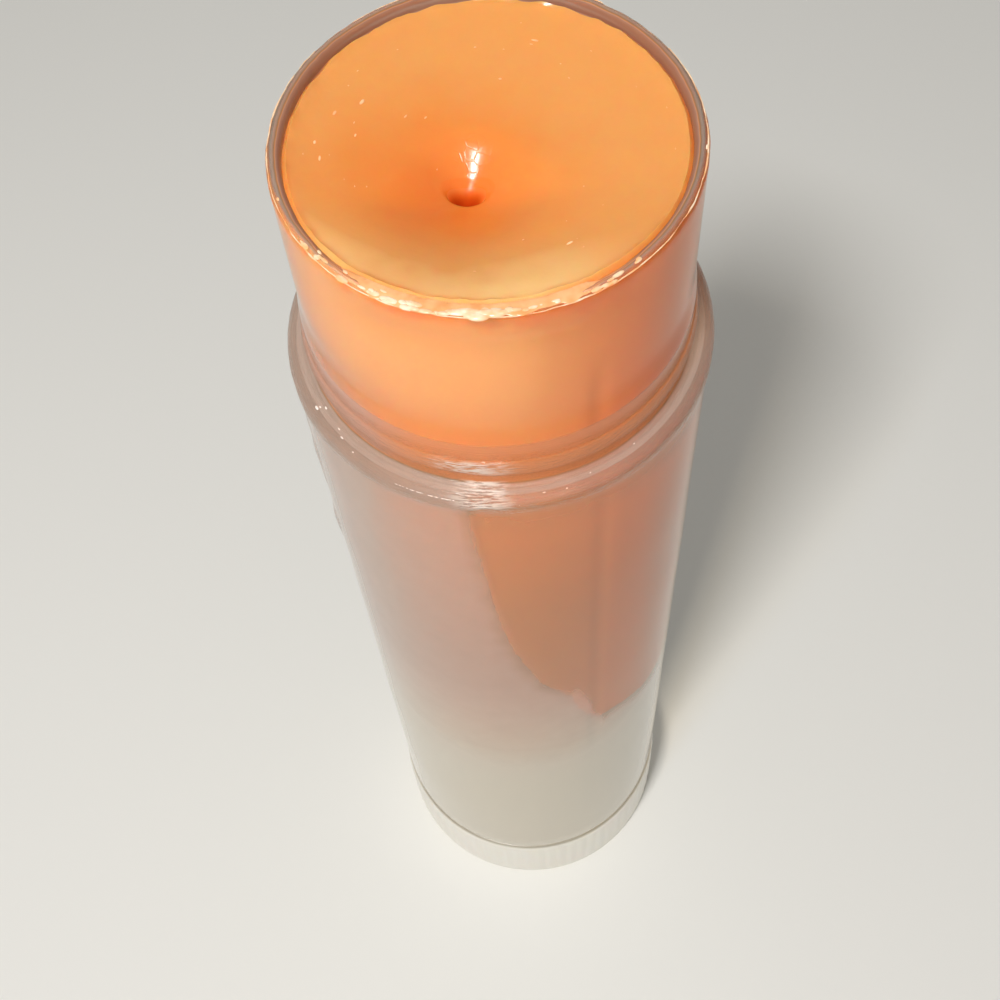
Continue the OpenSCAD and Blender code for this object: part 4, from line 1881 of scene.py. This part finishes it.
    def build(self) -> Object:
        """Builds the balm and returns it."""
        line, first, pit = self.outline()
        grid = Turned.of(line, self.columns)
        self.shape_side(grid)
        points = grid.xyz()
        top = self.spread_top(grid, first, pit)
        level = self.surface(top.x, top.y)
        mouth = level[pit - first - 1]
        sunk = smooth_step(top.depth, 0.0, self.pit_depth)
        points[top.rows, :, 0] = top.x - self.pit_lean_left * sunk
        points[top.rows, :, 1] = top.y - self.pit_lean * sunk
        points[top.rows, :, 2] = np.where(top.in_pit, mouth - top.depth, level)
        edge = points[first, :, 2] - self.top
        points[:first, :, 2] += grid.mark[:first] * (edge - self.edge_drop)

        crazed = np.zeros(points.shape[:2])
        off_craze = np.hypot(top.x - self.pit_x - self.craze_x, top.y - self.pit_y - self.craze_y)
        crazed[top.rows] = smooth_step(off_craze, *self.craze_reach) * (1 - top.in_pit)
        marks = {"tone": self.tones(grid, points, top), "crazed": crazed}
        material = self.finish.material()
        piece = turned_piece("balm_fill", grid, material, points=points, closed=False, marks=marks)
        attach(piece, Body.CARRIER.value)
        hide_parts("balm")
        return piece


@dataclass
class Residue:
    """Dried balm on the rim, crumbs on the balm's top, and pale specks of painted glint on the ledge.

    A broken pale line, a painted highlight, follows the rim's outer edge, a film is wiped over the rim's
    front, and lumps stand in it. Lengths are in millimetres. Lumps are directions in degrees with sizes, and
    crumbs and specks are places with sizes. A size is a share of lump or crumb.
    """

    finish: DriedWaxAndGlint
    film_finish: WipedWax
    crumb_finish: CrumbledWax
    glint_finish: GlintSpecks
    barrel: Barrel
    balm: Balm
    seed: int = 11
    flatness: float = 0.5
    unevenness: float = 0.35
    grain: float = 0.22
    least_stretch: tuple[float, float, float] = (1.1, 0.7, 0.8)
    most_stretch: tuple[float, float, float] = (2.6, 1.0, 1.1)

    # The pale line, a painted highlight, and the film: beads with places round the rim and steps round a
    # section
    columns: int = 1440
    steps: int = 16
    front_turn: float = -100.0
    glint_line: float = 0.028
    glint_line_least: float = 0.002
    glint_line_sink: float = 0.05
    glint_line_thin: Span = (0.02, 0.004)
    glint_line_breaks: Span = (-0.35, 0.15)
    glint_line_reach: Span = (150.0, 100.0)
    film_reach: Span = (50.0, 24.0)
    film_jag: float = 7.0
    film_middle: float = 0.3
    film_w: float = 0.34
    film_t: float = 0.05
    film_under: float = 0.11
    film_end_under: float = 0.08
    film_in: float = 0.03

    lump: float = 0.1
    lump_sink: float = 0.56
    lump_middle: float = 0.6
    lump_stray: Span = (-1.8, 1.8)
    lump_across: Span = (-0.08, 0.13)
    lump_sizes: Span = (0.85, 1.25)
    rim_under: float = 0.02
    small_lumps: int = 14
    small_spread: float = 26.0
    small_across: Span = (-0.16, 0.16)
    small_under: float = 0.03
    small_sizes: Span = (0.3, 0.6)
    lumps: tuple[tuple[float, float], ...] = (
        (-146, 0.7), (-140, 0.7), (-130, 0.9), (-124, 0.7), (-122, 1.0), (-118, 1.2), (-115, 0.9),
        (-111, 1.1), (-107, 0.9), (-104, 1.1), (-99, 1.2), (-96, 1.7), (-94, 2.2), (-92, 1.5), (-88, 1.0),
        (-85, 0.9), (-82, 0.7), (-77, 0.6), (-64, 0.8), (-61, 0.6), (-59, 0.8), (-52, 0.8),
    )

    crumb: float = 0.05
    small_crumbs: int = 26
    crumb_sizes: Span = (0.25, 0.45)
    crumb_r: float = 6.0
    crumbs: tuple[tuple[float, float, float], ...] = (
        (-4.85, 2.02, 1.0), (-3.96, 2.5, 1.2), (-5.49, 0.78, 0.9), (-5.33, 0.13, 0.9), (-2.57, 1.91, 0.7),
        (-1.92, 1.85, 0.7), (0.6, 3.23, 0.9), (1.85, 4.61, 1.0), (-0.15, 4.55, 0.7), (-4.2, 1.13, 0.8),
        (2.3, -3.96, 1.0),
    )

    # Painted highlight: pale specks where glints fall on the ledge and along the lip's crest
    crest_glints: int = 64
    crest_turns: Span = (-121.0, -105.0)
    crest_in: float = 0.1
    crest_under: float = 0.06
    crest_sizes: Span = (0.06, 0.2)
    glint_specks: tuple[tuple[float, float, float], ...] = (
        (-6.82, -3.42, 0.5), (-6.49, -3.45, 0.35), (-6.7, -3.4, 0.3), (-6.02, -4.39, 0.3),
        (-5.92, -4.77, 0.35), (-5.53, -5.4, 0.25), (2.77, -6.95, 0.3), (1.1, -7.6, 0.25), (1.9, -7.5, 0.3),
        (4.4, -5.9, 0.25),
    )

    def tree(self) -> NodeTree:
        """Builds the tree that puts a soft lump on each point."""
        tree, given, out = geometry_tree(
            "Lumps",
            {"Size": "NodeSocketFloat", "Flatness": "NodeSocketFloat", "Unevenness": "NodeSocketFloat",
             "Seed": "NodeSocketInt", "Material": "NodeSocketMaterial"},
        )
        g = given.outputs
        ball = add_node(tree, "GeometryNodeMeshIcoSphere", {"Subdivisions": 3}, {"Radius": g["Size"]})
        stretch = add_node(
            tree, "FunctionNodeRandomValue",
            {"data_type": "FLOAT_VECTOR", 0: self.least_stretch, 1: self.most_stretch}, {"Seed": g["Seed"]},
        )
        share = add_node(tree, "GeometryNodeInputNamedAttribute", {"data_type": "FLOAT", "Name": "size"})
        sized = add_node(tree, "ShaderNodeVectorMath", {"operation": "SCALE"}, {0: stretch, "Scale": share})
        squash = add_node(tree, "ShaderNodeCombineXYZ", {0: 1.0, 1: 1.0}, {2: g["Flatness"]})
        scale = add_node(tree, "ShaderNodeVectorMath", {"operation": "MULTIPLY"}, {0: sized, 1: squash})
        place = add_node(tree, "GeometryNodeInputPosition")
        xyz = add_node(tree, "ShaderNodeSeparateXYZ", links={0: place})
        turn = add_node(
            tree, "ShaderNodeMath", {"operation": "ARCTAN2"}, {0: xyz.outputs["Y"], 1: xyz.outputs["X"]}
        )
        tangent = add_node(tree, "ShaderNodeMath", {"operation": "ADD", 1: math.pi / 2}, {0: turn})
        facing = add_node(tree, "ShaderNodeCombineXYZ", links={2: tangent})
        placed = add_node(
            tree, "GeometryNodeInstanceOnPoints",
            links={"Points": g["Geometry"], "Instance": ball, "Rotation": facing, "Scale": scale},
        )
        real = add_node(tree, "GeometryNodeRealizeInstances", links={"Geometry": placed})
        rough = add_node(
            tree, "ShaderNodeTexNoise", {"Scale": 1 / (self.grain * MM), "Detail": 1.0}, {"Vector": place}
        )
        centred = add_node(
            tree, "ShaderNodeVectorMath", {"operation": "SUBTRACT", 1: (0.5, 0.5, 0.5)},
            {0: rough.outputs["Color"]},
        )
        jolt = add_node(
            tree, "ShaderNodeVectorMath", {"operation": "SCALE"}, {0: centred, "Scale": g["Unevenness"]}
        )
        lumpy = add_node(tree, "GeometryNodeSetPosition", links={"Geometry": real, "Offset": jolt})
        dressed = add_node(
            tree, "GeometryNodeSetMaterial", links={"Geometry": lumpy, "Material": g["Material"]}
        )
        tree.links.new(dressed.outputs[0], out.inputs[0])
        return tree

    def scatter(
        self,
        name: str,
        spots: Sequence[Spot],
        size: float,
        body: Body,
        tree: NodeTree,
        material: Material,
    ) -> Object:
        """Puts lumps at spots.

        Args:
            name: the piece's name
            spots: places in millimetres, each with its share of the size
            size: a lump's radius
            body: the body that the lumps ride on
            tree: the lumps' tree
            material: the finish

        Returns:
            The piece.
        """
        table = np.array(spots)
        piece = mesh_piece(name, table[:, :3], [], marks={"size": table[:, 3]})
        apply_tree(piece, tree, {
            "Size": size * MM,
            "Flatness": self.flatness,
            "Unevenness": self.unevenness * size * MM,
            "Seed": self.seed,
            "Material": material,
        })
        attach(piece, body.value)
        return piece

    def bead(
        self, name: str, path: Array, wide: Array, high: Array, material: Material
    ) -> Object:
        """Lays a flattened, uneven bead of wax along a ring, below the rim's top and clear of the lifted cup.

        Args:
            name: the piece's name
            path: the ring's places
            wide: half the bead's width at each place
            high: half its height at each place
            material: the finish

        Returns:
            The piece.
        """
        turn = np.arctan2(path[:, 1], path[:, 0])
        outward = np.stack([np.cos(turn), np.sin(turn), 0 * turn], axis=-1)
        up = np.array([0.0, 0.0, 1.0])
        rows = []
        for i in range(self.steps):
            a = i * FULL_TURN / self.steps
            row = path + wide[:, None] * math.cos(a) * outward + high[:, None] * math.sin(a) * up
            uneven = 1 + 0.4 * ripple(row, size=0.6, seed=1.1) + 0.16 * ripple(row, size=0.22, seed=7.7)
            row = path + (row - path) * uneven[:, None]
            row[:, 2] = np.minimum(row[:, 2], self.barrel.rim)
            reach = np.hypot(row[:, 0], row[:, 1])
            row[:, :2] *= (np.maximum(reach, self.barrel.bore_r - self.film_in) / reach)[:, None]
            rows.append(row)
        piece = mesh_piece(name, np.stack(rows), grid_faces(self.steps, self.columns, True), material)
        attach(piece, Body.BARREL.value)
        return piece

    def rim_wax(self, material: Material) -> list[Object]:
        """Lays the broken pale line along the rim's outer edge, a painted highlight, and the film wiped over
        the rim's front.

        Args:
            material: the pale line's finish

        Returns:
            The pieces.
        """
        turn = np.arange(self.columns) * FULL_TURN / self.columns
        ring = self.barrel.rim_line
        known = np.arange(len(ring) + 1) * FULL_TURN / len(ring)
        closed = np.vstack([ring, ring[:1]])
        edge = np.stack([np.interp(turn, known, closed[:, i]) for i in range(3)], axis=-1)
        outward = np.stack([np.cos(turn), np.sin(turn), 0 * turn], axis=-1)
        off_front = np.abs((np.degrees(turn) - self.front_turn + 180) % 360 - 180)
        worn = ripple(edge, size=2.2, seed=3.3) + 0.6 * ripple(edge, size=0.7, seed=6.4)
        kept = smooth_step(worn + 0.5 * smooth_step(off_front, *self.glint_line_reach), *self.glint_line_breaks)
        thick = self.glint_line * (0.8 + 0.6 * ripple(edge, size=0.5, seed=1.1)) * kept
        thick = np.maximum(thick, self.glint_line_least)
        sink = self.glint_line_sink * smooth_step(thick, *self.glint_line_thin)
        path = edge - outward * sink[:, None]
        path[:, 2] -= sink
        # Painted highlight: a thin pale bead along the rim's outer edge
        glint_line = self.bead("rim_hairline", path, thick, thick, material)

        front = smooth_step(off_front + self.film_jag * worn, *self.film_reach)
        path = outward * (self.barrel.bore_r + self.film_middle * self.barrel.neck_wall)
        path[:, 2] = self.barrel.rim - self.film_under - self.film_end_under * (1 - front)
        front *= 0.72 + 0.38 * ripple(edge, size=1.2, seed=4.6)
        wide = self.film_w * front + 0.01
        high = self.film_t * front * (1 + 0.25 * ripple(edge, size=0.9, seed=5.8)) + 0.004
        return [glint_line, self.bead("rim_film", path, wide, high, self.film_finish.material())]

    def rim_spots(self, draw: random.Random) -> list[Spot]:
        """Places the lumps on the rim, two for each direction, with small ones between them."""
        wall_r = self.barrel.bore_r + self.barrel.neck_wall * self.lump_middle
        rim = self.barrel.rim - self.rim_under
        spots = []
        for turn, size in self.lumps:
            for _ in range(2):
                a = math.radians(turn + draw.uniform(*self.lump_stray))
                r = wall_r + draw.uniform(*self.lump_across)
                big = size * draw.uniform(*self.lump_sizes)
                spots.append((r * math.cos(a), r * math.sin(a), rim - self.lump_sink * self.lump * big, big))
        for _ in range(self.small_lumps):
            a = math.radians(draw.gauss(self.front_turn, self.small_spread))
            r = wall_r + draw.uniform(*self.small_across)
            level = rim - self.small_under
            spots.append((r * math.cos(a), r * math.sin(a), level, draw.uniform(*self.small_sizes)))
        return spots

    def ledge_spots(self, draw: random.Random) -> list[Spot]:
        """Places the pale specks of painted highlight on the ledge, and the finer ones along its rounded
        crest.
        """
        level = self.barrel.shoulder
        spots = [(x, y, level + CLOSE, size) for x, y, size in self.glint_specks]
        crest = self.barrel.lip_r - self.crest_in
        for _ in range(self.crest_glints):
            a = math.radians(draw.uniform(*self.crest_turns))
            x, y = crest * math.cos(a), crest * math.sin(a)
            spots.append((x, y, level - self.crest_under, draw.uniform(*self.crest_sizes)))
        return spots

    def crumb_spots(self, draw: random.Random) -> list[Spot]:
        """Places the crumbs on the balm's top, with small ones strewn between them."""
        places = list(self.crumbs)
        for _ in range(self.small_crumbs):
            a = draw.uniform(0, FULL_TURN)
            r = self.crumb_r * math.sqrt(draw.uniform(0.05, 1))
            places.append((r * math.cos(a), r * math.sin(a), draw.uniform(*self.crumb_sizes)))
        levels = [float(self.balm.surface(np.array([x]), np.array([y]))[0]) for x, y, _ in places]
        return [(x, y, level, size) for (x, y, size), level in zip(places, levels)]

    def build(self) -> list[Object]:
        """Builds the residue and returns its pieces."""
        draw = random.Random(self.seed)
        tree = self.tree()
        wax = self.finish.material()
        # Painted highlight: pale specks on the ledge
        glint_specks = self.glint_finish.material()
        crumbs = self.crumb_finish.material()
        lumps = [
            self.scatter("rim_lumps", self.rim_spots(draw), self.lump, Body.BARREL, tree, wax),
            self.scatter("ledge_specks", self.ledge_spots(draw), self.lump, Body.BARREL, tree, glint_specks),
            self.scatter("balm_specks", self.crumb_spots(draw), self.crumb, Body.CARRIER, tree, crumbs),
        ]
        return [*self.rim_wax(wax), *lumps]


@dataclass
class Studio:
    """The pale floor, the soft light and the camera at the photograph's angle.

    Lengths are in millimetres, and the floor's patches are counted in a metre. The camera's place, directions
    and focal length fit the photograph's frame, which is 1000 by 1000 pixels.
    """

    floor_colour: str = "#efede7"
    floor_patch_colour: str = "#f3f1eb"
    floor_patches: float = 9.0
    floor_half: float = 1500.0
    pale: Span = (90.0, 330.0)
    world_colour: str = "#f4f3f0"
    world_level: float = 0.34
    key_power: float = 0.268
    key_at: tuple[float, float, float] = (-45.0, -80.0, 195.0)
    key_size: float = 30.0
    fill_power: float = 0.05
    fill_at: tuple[float, float, float] = (-210.0, -330.0, 130.0)
    fill_size: float = 200.0
    aim_at: tuple[float, float, float] = (0.0, 0.0, 35.0)
    frame_px: float = 1000.0
    focal_px: float = 1413.9
    sensor: float = 36.0
    eye: tuple[float, float, float] = (0.0, -31.436, 93.048)
    right: tuple[float, float, float] = (0.99726, -0.05983, -0.04342)
    up: tuple[float, float, float] = (0.07337, 0.87331, 0.48162)
    ahead: tuple[float, float, float] = (-0.00910, 0.48348, -0.87531)

    def build(self) -> None:
        """Builds the floor, the lights and the camera."""
        self.lay_floor()
        self.light_world()
        self.hang_lamp("key_softbox", self.key_at, self.key_size, self.key_power)
        self.hang_lamp("fill_softbox", self.fill_at, self.fill_size, self.fill_power)
        self.set_camera()
        bpy.context.scene.view_settings.view_transform = "Standard"

    def lay_floor(self) -> None:
        """Lays the floor: a wide sheet of matt card, which the camera sees evenly pale far off."""
        material, tree, out = new_material("Studio_card_matt")
        place = add_node(tree, "ShaderNodeTexCoord").outputs["Object"]
        patch = add_node(
            tree, "ShaderNodeTexNoise", {"Scale": self.floor_patches, "Detail": 2.0}, {"Vector": place}
        )
        tone = add_node(
            tree, "ShaderNodeMix",
            {"data_type": "RGBA", 6: linear(self.floor_colour), 7: linear(self.floor_patch_colour)},
            {0: patch},
        )
        card = add_node(
            tree, "ShaderNodeBsdfPrincipled", {"Roughness": 0.85, "Specular IOR Level": 0.2},
            {"Base Color": tone.outputs[2]},
        )
        away = add_node(tree, "ShaderNodeVectorMath", {"operation": "LENGTH"}, {0: place})
        near, far = self.pale
        paling = add_node(
            tree, "ShaderNodeMapRange",
            {"interpolation_type": "SMOOTHSTEP", "From Min": near * MM, "From Max": far * MM},
            {"Value": away.outputs["Value"]},
        )
        ray = add_node(tree, "ShaderNodeLightPath")
        paler = add_node(
            tree, "ShaderNodeMath", {"operation": "MULTIPLY"}, {0: paling, 1: ray.outputs["Is Camera Ray"]}
        )
        backdrop = add_node(tree, "ShaderNodeEmission", {"Color": linear(self.floor_colour)})
        shown = add_node(tree, "ShaderNodeMixShader", links={0: paler, 1: card, 2: backdrop})
        tree.links.new(shown.outputs[0], out.inputs["Surface"])
        half = self.floor_half
        corners = np.array([(-half, -half, 0), (half, -half, 0), (half, half, 0), (-half, half, 0)])
        mesh_piece("studio_floor", corners, [(0, 1, 2, 3)], material)

    def light_world(self) -> None:
        """Lights the scene softly from all round, and shows the floor's colour past the floor's edge."""
        world = bpy.data.worlds.new("Studio")
        world.use_nodes = True
        bpy.context.scene.world = world
        tree = world.node_tree
        tree.nodes.clear()
        glow = add_node(
            tree, "ShaderNodeBackground", {"Color": linear(self.world_colour), "Strength": self.world_level}
        )
        seen = add_node(tree, "ShaderNodeBackground", {"Color": linear(self.floor_colour), "Strength": 1.0})
        ray = add_node(tree, "ShaderNodeLightPath")
        clear = add_node(
            tree, "ShaderNodeMath", {"operation": "MAXIMUM"},
            {0: ray.outputs["Is Camera Ray"], 1: ray.outputs["Is Transmission Ray"]},
        )
        mix = add_node(tree, "ShaderNodeMixShader", links={0: clear, 1: glow, 2: seen})
        add_node(tree, "ShaderNodeOutputWorld", links={"Surface": mix})

    def hang_lamp(self, name: str, at: Sequence[float], size: float, power: float) -> None:
        """Hangs a square soft lamp that points at the stick.

        Args:
            name: the lamp's name
            at: its place
            size: its side
            power: its power, in watts
        """
        data = bpy.data.lights.new(name, "AREA")
        data.size = size * MM
        data.energy = power
        lamp = bpy.data.objects.new(name, data)
        lamp.location = Vector(at) * MM
        lamp.rotation_euler = (Vector(self.aim_at) - Vector(at)).to_track_quat("-Z", "Y").to_euler()
        bpy.context.scene.collection.objects.link(lamp)

    def set_camera(self) -> None:
        """Sets the camera where the photograph was taken from."""
        data = bpy.data.cameras.new("camera")
        data.sensor_width = self.sensor
        data.lens = self.sensor * self.focal_px / self.frame_px
        data.clip_start = MM
        camera = bpy.data.objects.new("camera", data)
        turn = Matrix((self.right, self.up, [-a for a in self.ahead])).transposed()
        camera.matrix_world = Matrix.Translation(Vector(self.eye) * MM) @ turn.to_4x4()
        bpy.context.scene.collection.objects.link(camera)
        bpy.context.scene.camera = camera


def main() -> None:
    """Builds the studio and the stick."""
    logging.basicConfig(level=logging.INFO, format="%(name)s: %(message)s")
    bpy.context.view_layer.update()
    barrel_low, barrel_high = (Vector(corner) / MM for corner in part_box("barrel"))
    elevator_low, elevator_high = (Vector(corner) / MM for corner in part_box("elevator"))
    spindle_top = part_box("spindle")[1][2] / MM
    balm_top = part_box("balm")[1][2] / MM

    Studio().build()
    barrel = Barrel(NaturalPolypropylene(), foot=barrel_low.z, rim=barrel_high.z, lip_r=barrel_high.x)
    balm = Balm(BalmWax(), barrel, top=balm_top)
    inner = MouldedPolypropylene("Inner_polypropylene_moulded", "#efece2")
    wheel = MouldedPolypropylene("Wheel_polypropylene_moulded", "#f4efe4", roughness=0.32)
    pieces = [
        barrel.build(),
        ThumbWheel(wheel, ring_r=barrel_high.x).build(),
        Spindle(inner, top=spindle_top).build(),
        Elevator(inner, low=elevator_low.z, high=elevator_high.z).build(),
        balm.build(),
        *Residue(DriedWaxAndGlint(), WipedWax(), CrumbledWax(), GlintSpecks(), barrel, balm).build(),
    ]
    for piece in pieces:
        log.info("%s: %d faces", piece.name, len(piece.data.polygons))


if __name__ == "__main__":
    main()
